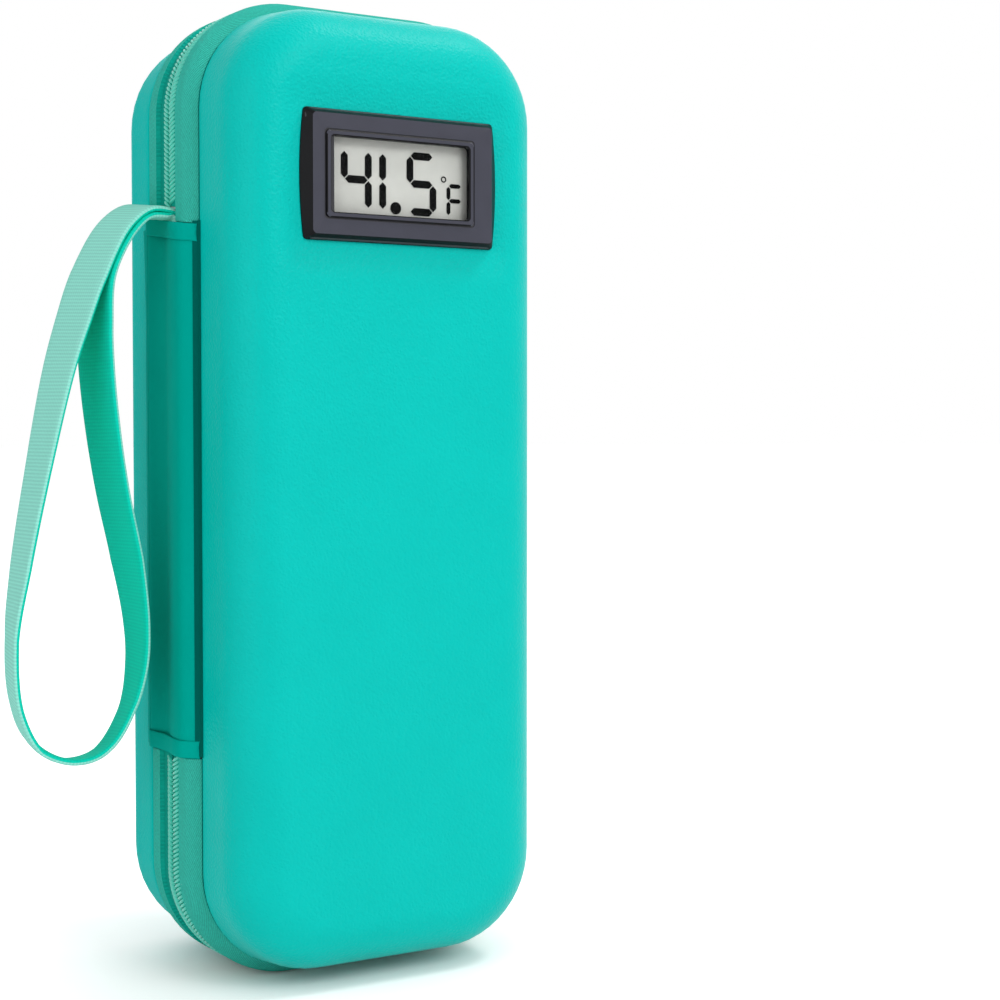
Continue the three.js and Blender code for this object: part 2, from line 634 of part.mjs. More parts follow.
/** The thermometer's bezel, with the open-backed housing behind it. */
function addThermometerHousing() {
  const faceWidth = BEZEL_WIDTH - 2 * BEZEL_CHAMFER;
  const faceHeight = BEZEL_HEIGHT - 2 * BEZEL_CHAMFER;
  const frame = loft([
    outlineRing(BEZEL_WIDTH, BEZEL_HEIGHT, BEZEL_CORNER, MODULE_CENTRE_Z, BEZEL_BACK_Y),
    outlineRing(BEZEL_WIDTH, BEZEL_HEIGHT, BEZEL_CORNER, MODULE_CENTRE_Z, BEZEL_BACK_Y - BEZEL_EDGE),
    outlineRing(faceWidth, faceHeight, BEZEL_CORNER, MODULE_CENTRE_Z, BEZEL_FRONT_Y),
  ]);
  const backY = COVER_Y[0] - FIT_GAP;
  const body = moduleBlock(BODY_WIDTH, BODY_HEIGHT, [BEZEL_BACK_Y - BEZEL_EDGE / 2, backY]);
  const well = moduleBlock(WELL_WIDTH, WELL_HEIGHT, [WELL_FRONT_Y, backY + 1]);
  const window = moduleBlock(WINDOW_WIDTH, WINDOW_HEIGHT, [BEZEL_FRONT_Y - 1, WELL_FRONT_Y + 1]);
  place("thermometer_bezel", "housing", frame.add(body).subtract(well).subtract(window));

  const clipFrontY = FRONT.faceY + SHELL_WALL + FIT_GAP;
  for (const [side, sign] of [["left", -1], ["right", 1]]) {
    const rootX = sign * (BODY_WIDTH / 2 + FIT_GAP);
    const wedge = new THREE.Shape();
    wedge.moveTo(rootX, clipFrontY);
    wedge.lineTo(rootX + sign * CLIP_REACH, clipFrontY);
    wedge.lineTo(rootX, clipFrontY + CLIP_DEPTH);
    wedge.closePath();
    const heights = [MODULE_CENTRE_Z - CLIP_HEIGHT / 2, MODULE_CENTRE_Z + CLIP_HEIGHT / 2];
    place(`retaining_clip_${side}`, "housing", extrudeAlongZ(wedge, heights));
  }
}

/** The window, display, board, cells and sensor inside the housing. */
function addThermometerInside() {
  const width = WELL_WIDTH - 2 * FIT_GAP;
  const height = WELL_HEIGHT - 2 * FIT_GAP;
  place("display_lens", "lens", moduleBlock(width, height, LENS_Y));
  place("lcd_panel", "lcd", moduleBlock(width, height, LCD_Y));
  const connectorRise = (height - CONNECTOR_WIDTH) / 2;
  for (const [name, sign] of [["upper", 1], ["lower", -1]]) {
    const strip = moduleBlock(WINDOW_WIDTH, CONNECTOR_WIDTH, CONNECTOR_Y, 0, sign * connectorRise);
    place(`lcd_connector_${name}`, "elastic", strip);
  }
  place("circuit_board", "board", moduleBlock(width, height, BOARD_Y));
  for (const [side, sign] of [["left", -1], ["right", 1]]) {
    const x = (sign * CELL_SPACING) / 2;
    place(`battery_contact_${side}`, "metal", moduleBlock(CONTACT_SIDE, CONTACT_SIDE, CONTACT_Y, x));
    place(`button_cell_${side}`, "metal", barAlongY(CELL_DIAMETER, x, MODULE_CENTRE_Z, CELL_Y));
  }
  place("battery_bridge", "metal", moduleBlock(CELL_SPACING + CONTACT_SIDE, BRIDGE_HEIGHT, BRIDGE_Y));
  const switchY = [BOARD_Y[1] + FIT_GAP, BUTTON_FLANGE_Y[0] - BUTTON_TRAVEL - FIT_GAP];
  place("unit_switch", "elastic", moduleBlock(SWITCH_SIDE, SWITCH_SIDE, switchY, BUTTON_X, BUTTON_RISE));
  const sensorY = [BOARD_Y[1] + FIT_GAP, COVER_Y[1] + SENSOR_PROUD];
  place(
    "temperature_sensor",
    "metal",
    barAlongY(SENSOR_DIAMETER, BUTTON_X, MODULE_CENTRE_Z - SENSOR_DROP, sensorY),
  );
}

/** The back cover with its battery door, rails and unit button. */
function addThermometerBack() {
  const through = [COVER_Y[0] - 1, COVER_Y[1] + 1];
  const sunkY = COVER_Y[1] - BACK_COVER_THICKNESS / 2;
  const lipY = DOOR_Y[1] + FIT_GAP;
  const railRise = DOOR_HEIGHT / 2 + FIT_GAP + RAIL_WALL / 2;
  const lipRise = railRise - RAIL_WALL / 2;
  let cover = moduleBlock(BODY_WIDTH, BODY_HEIGHT, COVER_Y)
    .subtract(moduleBlock(CELL_WELL_WIDTH, CELL_WELL_HEIGHT, through))
    .subtract(barAlongY(BUTTON_DIAMETER + 2 * FIT_GAP, BUTTON_X, MODULE_CENTRE_Z + BUTTON_RISE, through))
    .subtract(barAlongY(SENSOR_DIAMETER + 2 * FIT_GAP, BUTTON_X, MODULE_CENTRE_Z - SENSOR_DROP, through))
    .add(moduleBlock(RAIL_WALL, DOOR_HEIGHT, [sunkY, DOOR_Y[1]], DOOR_STOP_X + RAIL_WALL / 2));
  for (const sign of [-1, 1]) {
    cover = cover
      .add(moduleBlock(DOOR_WIDTH, RAIL_WALL, [sunkY, lipY + RAIL_LIP], 0, sign * railRise))
      .add(moduleBlock(DOOR_WIDTH, 2 * RAIL_WALL, [lipY, lipY + RAIL_LIP], 0, sign * lipRise));
  }
  place("thermometer_back_cover", "housing", cover);

  const gripY = [DOOR_Y[1] - DOOR_THICKNESS / 2, DOOR_Y[1] + DOOR_GRIP];
  const gripHeight = CELL_WELL_HEIGHT - 2 * RAIL_WALL;
  const gripX = DOOR_GRIP_WIDTH - DOOR_WIDTH / 2;
  const door = moduleBlock(DOOR_WIDTH, DOOR_HEIGHT, DOOR_Y).add(
    moduleBlock(DOOR_GRIP_WIDTH, gripHeight, gripY, gripX),
  );
  place("battery_door", "housing", door);

  const buttonZ = MODULE_CENTRE_Z + BUTTON_RISE;
  const stemY = [BUTTON_FLANGE_Y[0], COVER_Y[1] + BUTTON_PROUD];
  const stem = barAlongY(BUTTON_DIAMETER, BUTTON_X, buttonZ, stemY);
  const flange = barAlongY(BUTTON_DIAMETER + 4 * FIT_GAP, BUTTON_X, buttonZ, BUTTON_FLANGE_Y);
  place("unit_button", "elastic", stem.add(flange));
}

/** An ice pack in a half, under two elastic bands sewn to the liner's walls. */
function addColdPack(name, half, centreZ) {
  const floorY = half.faceY - half.sign * (CHAMBER_OFFSET + FIT_GAP);
  const topY = floorY - half.sign * PACK_THICKNESS;
  const width = PACK_WIDTH - 2 * PACK_BEVEL;
  const outline = roundedShape(width, PACK_LENGTH - 2 * PACK_BEVEL, width / 2 - FIT_GAP, 0, centreZ);
  const low = Math.min(floorY, topY) + PACK_BEVEL;
  const high = Math.max(floorY, topY) - PACK_BEVEL;
  const bevel = { bevelEnabled: true, bevelThickness: PACK_BEVEL, bevelSize: PACK_BEVEL, bevelSegments: 3 };
  place(`${name}_ice_pack`, "pack", extrudeAlongY(outline, [low, high], { ...bevel, curveSegments: 9 }));

  const bandY = topY - half.sign * FIT_GAP;
  const crestY = bandY - half.sign * BAND_THICKNESS;
  const legY = bandY + half.sign * BAND_LEG;
  const outerX = SIDE - half.rimInset - BAND_INSET;
  const innerX = outerX - BAND_THICKNESS;
  const bracket = new THREE.Shape();
  bracket.moveTo(-outerX, legY);
  bracket.lineTo(-outerX, crestY);
  bracket.lineTo(outerX, crestY);
  bracket.lineTo(outerX, legY);
  bracket.lineTo(innerX, legY);
  bracket.lineTo(innerX, bandY);
  bracket.lineTo(-innerX, bandY);
  bracket.lineTo(-innerX, legY);
  bracket.closePath();
  for (const [level, sign] of [["upper", 1], ["lower", -1]]) {
    const middle = centreZ + (sign * BAND_SPREAD) / 2;
    const heights = [middle - BAND_HEIGHT / 2, middle + BAND_HEIGHT / 2];
    place(`${name}_band_${level}`, "elastic", extrudeAlongZ(bracket, heights));
  }
}

addShells();
addZip();
addSpine();
addSlider("upper", 1);
addSlider("lower", -1);
addThermometerHousing();
addThermometerInside();
addThermometerBack();
addColdPack("front", FRONT, (FRONT_PACK_Z0 + FRONT_PACK_Z1) / 2);
addColdPack("rear", REAR, CASE_HEIGHT / 2);

export default object;
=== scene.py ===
"""Insulin cooling case: moulded shells, zip, spine, wrist strap, thermometer and cold packs."""
import logging
import math
from contextlib import contextmanager
from dataclasses import dataclass
from enum import Enum
from typing import Callable, Iterator, Sequence

import bmesh
import bpy
import numpy as np
from mathutils import Matrix, Vector


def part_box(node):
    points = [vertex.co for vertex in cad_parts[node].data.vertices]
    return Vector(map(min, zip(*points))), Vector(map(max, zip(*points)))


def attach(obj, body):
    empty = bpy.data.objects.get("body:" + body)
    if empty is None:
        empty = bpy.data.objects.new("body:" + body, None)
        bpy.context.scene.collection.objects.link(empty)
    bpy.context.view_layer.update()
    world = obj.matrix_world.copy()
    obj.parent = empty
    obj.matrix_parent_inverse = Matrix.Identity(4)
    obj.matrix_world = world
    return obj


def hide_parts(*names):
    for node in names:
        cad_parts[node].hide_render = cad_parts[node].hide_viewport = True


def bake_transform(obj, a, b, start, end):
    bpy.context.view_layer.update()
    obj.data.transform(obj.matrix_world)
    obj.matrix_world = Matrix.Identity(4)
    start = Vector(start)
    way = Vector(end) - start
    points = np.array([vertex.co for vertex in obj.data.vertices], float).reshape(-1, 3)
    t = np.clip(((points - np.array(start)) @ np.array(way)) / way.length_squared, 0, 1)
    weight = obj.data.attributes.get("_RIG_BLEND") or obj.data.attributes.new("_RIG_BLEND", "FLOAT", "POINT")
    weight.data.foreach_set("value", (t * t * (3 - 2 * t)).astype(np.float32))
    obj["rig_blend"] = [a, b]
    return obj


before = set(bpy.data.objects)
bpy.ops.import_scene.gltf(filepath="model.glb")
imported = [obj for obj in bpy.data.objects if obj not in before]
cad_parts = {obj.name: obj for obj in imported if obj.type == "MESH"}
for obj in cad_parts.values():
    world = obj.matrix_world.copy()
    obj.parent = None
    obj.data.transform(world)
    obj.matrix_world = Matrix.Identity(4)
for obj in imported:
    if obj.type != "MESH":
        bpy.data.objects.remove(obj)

LOG = logging.getLogger("cooling_case")
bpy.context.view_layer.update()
MM = 0.001
TURN = 2 * math.pi
SAME_PLACE = 1e-6
ROUTE_STEPS = 24
CASE_CORNER = 26 * MM
# The numbers of the colour sockets on a mixing node: both inputs and the result
MIX_LOW, MIX_HIGH, MIX_RESULT = 6, 7, 2

Piece = bpy.types.Object
Socket = bpy.types.NodeSocket
Colour = tuple[float, float, float]
Steps = Sequence[tuple[float, float]]


class Body(Enum):
    """The moving bodies of the frame."""

    REAR = "rear_case"
    LID = "front_lid"
    SPINE = "spine"
    LOOP = "strap_loop"
    DOOR = "battery_door"
    BUTTON = "unit_button"
    SLIDER_UPPER = "slider_upper"
    SLIDER_LOWER = "slider_lower"
    PULL_UPPER = "pull_upper"
    PULL_LOWER = "pull_lower"


class Slot(Enum):
    """The record's material slots."""

    SHELL = "shell"
    SPINE = "spine"
    TAPE = "zip_tape"
    COIL = "zip_coil"
    WEBBING = "webbing"
    LINER = "liner"
    PACK = "ice_pack"
    ELASTIC = "elastic"
    HOUSING = "housing"
    LENS = "lens"
    LCD = "lcd"
    BOARD = "board"
    STEEL = "steel"
    RUBBER = "rubber"
    SLIDER = "slider"


class Side(Enum):
    """Which way a half of the case faces along y."""

    FRONT = -1
    REAR = 1

    @property
    def word(self) -> str:
        """The half's name in the frame."""
        return self.name.lower()

    def depths(self, node: str) -> tuple[float, float]:
        """The depths of a solid's side at the zip and of its far side.

        Args:
            node: The name of a solid in this half.

        Returns:
            Both places along y.
        """
        low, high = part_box(node)
        return (high.y, low.y) if self is Side.FRONT else (low.y, high.y)


def linear(colour: Colour) -> tuple[float, float, float, float]:
    """Turns a display colour into the shader's own scale.

    Args:
        colour: Red, green and blue from 0 to 255.

    Returns:
        The colour as linear red, green, blue and alpha.
    """
    parts = [value / 255 for value in colour]
    flat = [part / 12.92 if part <= 0.04045 else ((part + 0.055) / 1.055) ** 2.4 for part in parts]
    return (flat[0], flat[1], flat[2], 1.0)


def add_node(
    tree: bpy.types.NodeTree, kind: str, inputs: dict, **options: object
) -> bpy.types.Node:
    """Adds a shader node and fills its inputs.

    Args:
        tree: The node tree.
        kind: The node's type without its prefix.
        inputs: Socket names or numbers with a value or a socket for each.
        options: The node's own settings.

    Returns:
        The new node.
    """
    node = tree.nodes.new("ShaderNode" + kind)
    for name, value in options.items():
        setattr(node, name, value)
    for key, value in inputs.items():
        if isinstance(value, bpy.types.NodeSocket):
            tree.links.new(value, node.inputs[key])
        else:
            node.inputs[key].default_value = value
    return node


class Shader:
    """The node tree of one finish."""

    def __init__(self, name: str) -> None:
        """Starts a material with its principled surface.

        Args:
            name: The material's name.
        """
        self.material = bpy.data.materials.new(name)
        self.material.use_nodes = True
        self.tree = self.material.node_tree
        self.surface = self.tree.nodes["Principled BSDF"]

    def set(self, **levels: float) -> None:
        """Sets plain levels on the surface, with underscores for the spaces in a socket's name."""
        for name, level in levels.items():
            self.surface.inputs[name.replace("_", " ")].default_value = level

    def add(self, kind: str, inputs: dict, **options: object) -> bpy.types.Node:
        """Adds a node to the finish, as add_node does."""
        return add_node(self.tree, kind, inputs, **options)

    def math(self, operation: str, first: Socket | float, second: Socket | float = 0.0) -> Socket:
        """The result of one sum on two values."""
        return self.add("Math", {0: first, 1: second}, operation=operation).outputs[0]

    def total(self, *terms: tuple[Socket, float]) -> Socket:
        """The sum of values, each taken at a share.

        Args:
            terms: Each value with its share.

        Returns:
            The sum.
        """
        parts = [self.math("MULTIPLY", value, share) for value, share in terms]
        result = parts[0]
        for part in parts[1:]:
            result = self.math("ADD", result, part)
        return result

    def place(self) -> Socket:
        """The point on the piece, in metres."""
        return self.add("TexCoord", {}).outputs["Object"]

    def lay(self) -> tuple[Socket, Socket]:
        """The way along and the way across a woven piece, in metres."""
        split = self.add("SeparateXYZ", {0: self.add("TexCoord", {}).outputs["UV"]})
        return split.outputs[0], split.outputs[1]

    def wave(self, value: Socket, period: float) -> Socket:
        """A swell from 0 to 1 that repeats once a period."""
        swing = self.math("SINE", self.math("MULTIPLY", value, TURN / period))
        return self.add("Math", {0: swing, 1: 0.5, 2: 0.5}, operation="MULTIPLY_ADD").outputs[0]

    def noise(self, size: float, detail: float = 3.0) -> Socket:
        """Soft noise from 0 to 1 with grains of a size in metres."""
        inputs = {"Vector": self.place(), "Scale": 1 / size, "Detail": detail}
        return self.add("TexNoise", inputs).outputs[0]

    def cells(self, size: float, feature: str) -> Socket:
        """Cell distances with cells of a size in metres."""
        inputs = {"Vector": self.place(), "Scale": 1 / size}
        return self.add("TexVoronoi", inputs, feature=feature).outputs["Distance"]

    def spread(self, value: Socket, low: float, high: float) -> Socket:
        """Moves a value from 0 to 1 on to another range."""
        return self.add("MapRange", {"Value": value, "To Min": low, "To Max": high}).outputs[0]

    def feed(self, name: str, value: Socket) -> None:
        """Joins a value to one of the surface's sockets."""
        self.tree.links.new(value, self.surface.inputs[name])

    def emboss(self, height: Socket, depth: float, strength: float = 1.0) -> None:
        """Joins a bump to the surface, over any bump that is there already.

        Args:
            height: The relief from 0 to 1.
            depth: The relief's depth in metres.
            strength: How much of it shows.
        """
        inputs = {"Height": height, "Distance": depth, "Strength": strength}
        if self.surface.inputs["Normal"].links:
            inputs["Normal"] = self.surface.inputs["Normal"].links[0].from_socket
        self.feed("Normal", self.add("Bump", inputs).outputs[0])


@dataclass(frozen=True)
class Finish:
    """A surface finish that makes its own material."""

    name: str
    colour: Colour
    roughness: float

    def material(self) -> bpy.types.Material:
        """The finish's material, made on first use.

        Returns:
            The material.
        """
        known = bpy.data.materials.get(self.name)
        if known:
            return known
        shader = Shader(self.name)
        shader.surface.inputs["Base Color"].default_value = linear(self.colour)
        shader.set(Roughness=self.roughness)
        self.detail(shader)
        return shader.material

    def detail(self, shader: Shader) -> None:
        """Adds the finish's own nodes.

        Args:
            shader: The material being made.
        """
        self.shade(shader, shader.noise(3 * MM), low=0.94)

    def shade(self, shader: Shader, factor: Socket, low: float) -> None:
        """Paints the surface from a share of the colour up to the whole of it.

        Args:
            shader: The material being made.
            factor: The place between the two tones, from 0 to 1.
            low: The darker tone's share of the colour.
        """
        dark = tuple(value * low for value in self.colour)
        inputs = {0: factor, MIX_LOW: linear(dark), MIX_HIGH: linear(self.colour)}
        mixed = shader.add("Mix", inputs, data_type="RGBA")
        shader.feed("Base Color", mixed.outputs[MIX_RESULT])

    def polish(self, shader: Shader, factor: Socket, less: float, more: float) -> None:
        """Spreads the roughness a little round its level.

        Args:
            shader: The material being made.
            factor: The place in the spread, from 0 to 1.
            less: How far the spread goes under the level.
            more: How far it goes over it.
        """
        rough = shader.spread(factor, self.roughness - less, self.roughness + more)
        shader.feed("Roughness", rough)


@dataclass(frozen=True)
class GrainedLeather(Finish):
    """Coated fabric pressed with a fine leather grain."""

    cell: float = 0.6 * MM
    relief: float = 0.15 * MM
    shine: float = 0.02

    def detail(self, shader: Shader) -> None:
        """Adds the pebbled grain, its creases and a slow change of tone.

        Args:
            shader: The material being made.
        """
        pebble = shader.cells(self.cell, "SMOOTH_F1")
        crease = shader.noise(0.35 * MM)
        height = shader.total((crease, 0.35), (pebble, -1.0))
        self.shade(shader, shader.noise(18 * MM, detail=2.0), low=0.965)
        self.polish(shader, crease, less=0.05, more=0.07)
        shader.emboss(height, self.relief, strength=0.8)
        shader.set(Specular_IOR_Level=self.shine)


@dataclass(frozen=True)
class DishedLeather(GrainedLeather):
    """Grained leather that is pressed in a little round an upright frame."""

    centre: tuple[float, float] = (0.0, 0.0)
    half: tuple[float, float] = (0.0, 0.0)
    reach: float = 9 * MM
    depth: float = 0.8 * MM

    def detail(self, shader: Shader) -> None:
        """Adds the dish round the frame, and the grain over it.

        Args:
            shader: The material being made.
        """
        split = shader.add("SeparateXYZ", {0: shader.place()})
        sides = []
        for axis, middle, half in zip((0, 2), self.centre, self.half):
            away = shader.math("ABSOLUTE", shader.math("SUBTRACT", split.outputs[axis], middle))
            past = shader.math("MAXIMUM", shader.math("SUBTRACT", away, half), 0.0)
            sides.append(shader.math("POWER", past, 2.0))
        distance = shader.math("SQRT", shader.math("ADD", *sides))
        inputs = {"Value": distance, "From Max": self.reach}
        slope = shader.add("MapRange", inputs, interpolation_type="SMOOTHSTEP").outputs[0]
        shader.emboss(slope, self.depth)
        super().detail(shader)


@dataclass(frozen=True)
class WovenTape(Finish):
    """Zip tape in a fine herringbone."""

    thread: float = 1.0 * MM
    pick: float = 0.9 * MM
    chevron: float = 60 * MM
    chevron_start: float = -20 * MM
    slope: float = 1.5
    pick_slope: float = -3.3
    contrast: float = 0.72

    def detail(self, shader: Shader) -> None:
        """Adds slanted threads that turn back at each chevron.

        Args:
            shader: The material being made.
        """
        along, across = shader.lay()
        start = shader.math("SUBTRACT", across, self.chevron_start)
        fold = shader.math("PINGPONG", start, self.chevron / 2)
        threads = shader.wave(shader.total((along, 1.0), (fold, self.slope)), self.thread)
        picks = shader.wave(shader.total((along, 1.0), (fold, self.pick_slope)), self.pick)
        fuzz = shader.noise(0.4 * MM)
        yarn = shader.total((threads, 0.4), (picks, 0.25), (fuzz, 0.5))
        self.shade(shader, yarn, low=self.contrast)
        shader.emboss(shader.total((threads, 1.0), (picks, 0.7)), 0.16 * MM, strength=0.8)
        shader.set(Specular_IOR_Level=0.04)


@dataclass(frozen=True)
class RibbedWebbing(Finish):
    """Flat webbing with ribs across it."""

    rib: float = 0.8 * MM
    yarn: float = 0.9 * MM
    contrast: float = 0.92

    def detail(self, shader: Shader) -> None:
        """Adds the cross ribs, the yarns between them and a little fuzz.

        Args:
            shader: The material being made.
        """
        along, across = shader.lay()
        ribs = shader.wave(along, self.rib)
        yarns = shader.wave(across, self.yarn)
        fuzz = shader.noise(0.3 * MM)
        body = shader.total((ribs, 0.5), (yarns, 0.3))
        self.shade(shader, shader.total((body, 1.0), (fuzz, 0.3)), low=self.contrast)
        shader.emboss(body, 0.07 * MM, strength=0.5)
        shader.set(Specular_IOR_Level=0.04)


@dataclass(frozen=True)
class NylonCoil(Finish):
    """Smooth nylon of the zip's coil."""

    def detail(self, shader: Shader) -> None:
        """Adds a soft change of tone and faint drawn lines.

        Args:
            shader: The material being made.
        """
        self.shade(shader, shader.noise(0.8 * MM), low=0.86)
        shader.emboss(shader.noise(0.3 * MM), 0.04 * MM, strength=0.5)
        shader.set(Coat_Weight=0.2, Coat_Roughness=0.25)


@dataclass(frozen=True)
class FoilLining(Finish):
    """Silver film over foam, a little crinkled."""

    def detail(self, shader: Shader) -> None:
        """Adds shallow crinkles and a fine lay of the film.

        Args:
            shader: The material being made.
        """
        crinkle = shader.cells(7 * MM, "DISTANCE_TO_EDGE")
        soft = shader.noise(4 * MM, detail=4.0)
        self.shade(shader, soft, low=0.9)
        self.polish(shader, soft, less=0.06, more=0.1)
        shader.emboss(shader.total((crinkle, 0.5), (soft, 1.0)), 0.5 * MM, strength=0.35)
        shader.set(Metallic=0.85)


@dataclass(frozen=True)
class GelPack(Finish):
    """Blue satin skin of a filled cold pack."""

    def detail(self, shader: Shader) -> None:
        """Adds a slow change of tone, faint cloudiness and a satin skin.

        Args:
            shader: The material being made.
        """
        self.shade(shader, shader.noise(22 * MM, detail=2.0), low=0.88)
        self.polish(shader, shader.noise(2 * MM), less=0.05, more=0.08)
        shader.emboss(shader.noise(0.6 * MM), 0.03 * MM, strength=0.5)
        shader.set(Coat_Weight=0.15, Coat_Roughness=0.3)


@dataclass(frozen=True)
class RibbedElastic(Finish):
    """Woven elastic with lengthwise ribs."""

    rib: float = 1.3 * MM
    stitch: float = 0.8 * MM

    def detail(self, shader: Shader) -> None:
        """Adds ribs along the band and the short stitches across them.

        Args:
            shader: The material being made.
        """
        along, across = shader.lay()
        ribs = shader.wave(across, self.rib)
        stitches = shader.wave(along, self.stitch)
        height = shader.math("MULTIPLY", ribs, shader.spread(stitches, low=0.6, high=1.0))
        self.shade(shader, height, low=0.55)
        shader.emboss(height, 0.2 * MM, strength=0.8)
        shader.set(Sheen_Weight=0.15)


@dataclass(frozen=True)
class MouldedPlastic(Finish):
    """Hard plastic with a fine spark texture."""

    grain: float = 0.25 * MM
    shine: float = 0.4

    def detail(self, shader: Shader) -> None:
        """Adds the tool's fine texture and slight rubbing.

        Args:
            shader: The material being made.
        """
        rubbed = shader.noise(6 * MM, detail=2.0)
        self.shade(shader, rubbed, low=0.9)
        self.polish(shader, rubbed, less=0.05, more=0.06)
        shader.emboss(shader.noise(self.grain), 0.02 * MM, strength=0.5)
        shader.set(Specular_IOR_Level=self.shine)


@dataclass(frozen=True)
class ClearLens(Finish):
    """Clear window with a faint haze."""

    def detail(self, shader: Shader) -> None:
        """Adds faint wiping marks to a see-through sheet."""
        self.polish(shader, shader.noise(2 * MM), less=0.0, more=0.05)
        shader.set(Alpha=0.05, Specular_IOR_Level=0.4)


@dataclass(frozen=True)
class BrushedMetal(Finish):
    """Metal with fine lines drawn along x."""

    stretch: tuple[float, float, float] = (120.0, 4000.0, 4000.0)

    def detail(self, shader: Shader) -> None:
        """Adds drawn lines and uneven polish.

        Args:
            shader: The material being made.
        """
        mapped = shader.add("Mapping", {"Vector": shader.place(), "Scale": self.stretch})
        inputs = {"Vector": mapped.outputs[0], "Scale": 1.0, "Detail": 2.0}
        lines = shader.add("TexNoise", inputs).outputs[0]
        self.shade(shader, lines, low=0.85)
        self.polish(shader, lines, less=0.06, more=0.1)
        shader.emboss(lines, 0.01 * MM, strength=0.4)
        shader.set(Metallic=1.0)


SHELL_TEAL = GrainedLeather("finish_shell", (0, 206, 196), 0.5)
SPINE_TEAL = GrainedLeather(
    "finish_spine", (0, 178, 163), 0.7, cell=0.8 * MM, relief=0.06 * MM, shine=0.01
)
# A darker copy of the spine leather: painted shade in the fold between the spine and the lid
FOLD_SHADE_TEAL = GrainedLeather(
    "finish_spine_fold_shade", (0, 104, 94), 0.7, relief=0.06 * MM, shine=0.01
)
TAPE_MINT = WovenTape("finish_zip_tape", (76, 238, 216), 0.8, contrast=0.66)
# Dark teal painted shade in the crevice where the front tape tucks under the shell's rim
CREVICE_SHADE_TEAL = WovenTape("finish_zip_crevice_shade", (0, 124, 112), 0.9)
# Darker teal painted shade for the recessed groove beside the coil and the ground strips under it
GROUND_SHADE_TEAL = WovenTape(
    "finish_zip_ground_shade", (16, 184, 164), 0.85, chevron=1.6 * MM, contrast=0.85
)
CHEVRON_MINT = WovenTape(
    "finish_zip_chevron", (72, 234, 212), 0.8, chevron=2.9 * MM, contrast=0.68
)
COIL_MINT = NylonCoil("finish_zip_coil", (84, 232, 208), 0.38)
STRAP_MINT = RibbedWebbing("finish_webbing", (164, 250, 233), 0.85, contrast=0.88)
# A deeper teal copy of the webbing: painted shade on the inner faces of the strap's bends
STRAP_INNER_SHADE_TEAL = RibbedWebbing("finish_webbing_inner_shade", (16, 226, 198), 0.8)
SILVER_FILM = FoilLining("finish_liner", (205, 209, 212), 0.3)
GEL_BLUE = GelPack("finish_ice_pack", (0, 85, 205), 0.36)
BAND_BLACK = RibbedElastic("finish_elastic", (52, 54, 58), 0.85)
BEZEL_BLACK = MouldedPlastic("finish_bezel", (62, 63, 76), 0.42, shine=0.3)
# A near-black copy of the frame's plastic: painted shade on the walls that turn away from the front
SIDE_SHADE_BLACK = MouldedPlastic("finish_bezel_side_shade", (8, 9, 13), 0.35, shine=0.12)
COVER_BLACK = MouldedPlastic("finish_cover", (44, 44, 50), 0.45)
WINDOW_CLEAR = ClearLens("finish_lens", (30, 32, 34), 0.06)
LCD_GREY = MouldedPlastic("finish_lcd", (248, 250, 243), 0.4, shine=0.15)
INK_BLACK = MouldedPlastic("finish_ink", (4, 5, 5), 0.5, shine=0.05)
MASK_GREEN = MouldedPlastic("finish_board", (28, 107, 58), 0.35)
STEEL_GREY = BrushedMetal("finish_steel", (190, 193, 196), 0.28)
STRIP_GREY = MouldedPlastic("finish_rubber", (60, 62, 66), 0.7)
ENAMEL_TEAL = MouldedPlastic("finish_slider", (40, 186, 170), 0.3)


def take_up(piece: Piece) -> None:
    """Makes one piece the only selected object.

    Args:
        piece: The object to work on.
    """
    bpy.ops.object.select_all(action="DESELECT")
    piece.select_set(True)
    bpy.context.view_layer.objects.active = piece


@contextmanager
def editing(piece: Piece) -> Iterator[None]:
    """Opens a piece in edit mode with nothing selected, and closes it again.

    Args:
        piece: The object to edit.
    """
    take_up(piece)
    bpy.ops.object.mode_set(mode="EDIT")
    bpy.ops.mesh.select_all(action="DESELECT")
    yield
    bpy.ops.object.mode_set(mode="OBJECT")


def pick(piece: Piece, kind: str, test: Callable) -> None:
    """Selects the parts of a piece in edit mode that pass a test.

    Args:
        piece: The object in edit mode.
        kind: VERT, EDGE or FACE.
        test: Takes a mesh part and says whether it is wanted.
    """
    bpy.ops.mesh.select_mode(type=kind)
    bpy.ops.mesh.select_all(action="DESELECT")
    shape = bmesh.from_edit_mesh(piece.data)
    parts = {"VERT": shape.verts, "EDGE": shape.edges, "FACE": shape.faces}[kind]
    for part in parts:
        if test(part):
            part.select_set(True)
    shape.select_flush_mode()
    bmesh.update_edit_mesh(piece.data)


def pick_all(kind: str) -> None:
    """Selects all of the piece in edit mode, as VERT, EDGE or FACE."""
    bpy.ops.mesh.select_mode(type=kind)
    bpy.ops.mesh.select_all(action="SELECT")


def modify(piece: Piece, kind: str, **settings: object) -> None:
    """Adds a modifier to a piece and applies it.

    Args:
        piece: The object to change.
        kind: The modifier's type.
        settings: The modifier's own values.
    """
    take_up(piece)
    modifier = piece.modifiers.new(kind.title(), kind)
    for name, value in settings.items():
        setattr(modifier, name, value)
    bpy.ops.object.modifier_apply(modifier=modifier.name)


def thicken(piece: Piece, wall: float, offset: float = -1) -> None:
    """Gives an open surface a wall.

    Args:
        piece: The surface.
        wall: The wall's thickness.
        offset: Where the wall lies: -1 is behind the surface.
    """
    modify(piece, "SOLIDIFY", thickness=wall, offset=offset, use_even_offset=True)


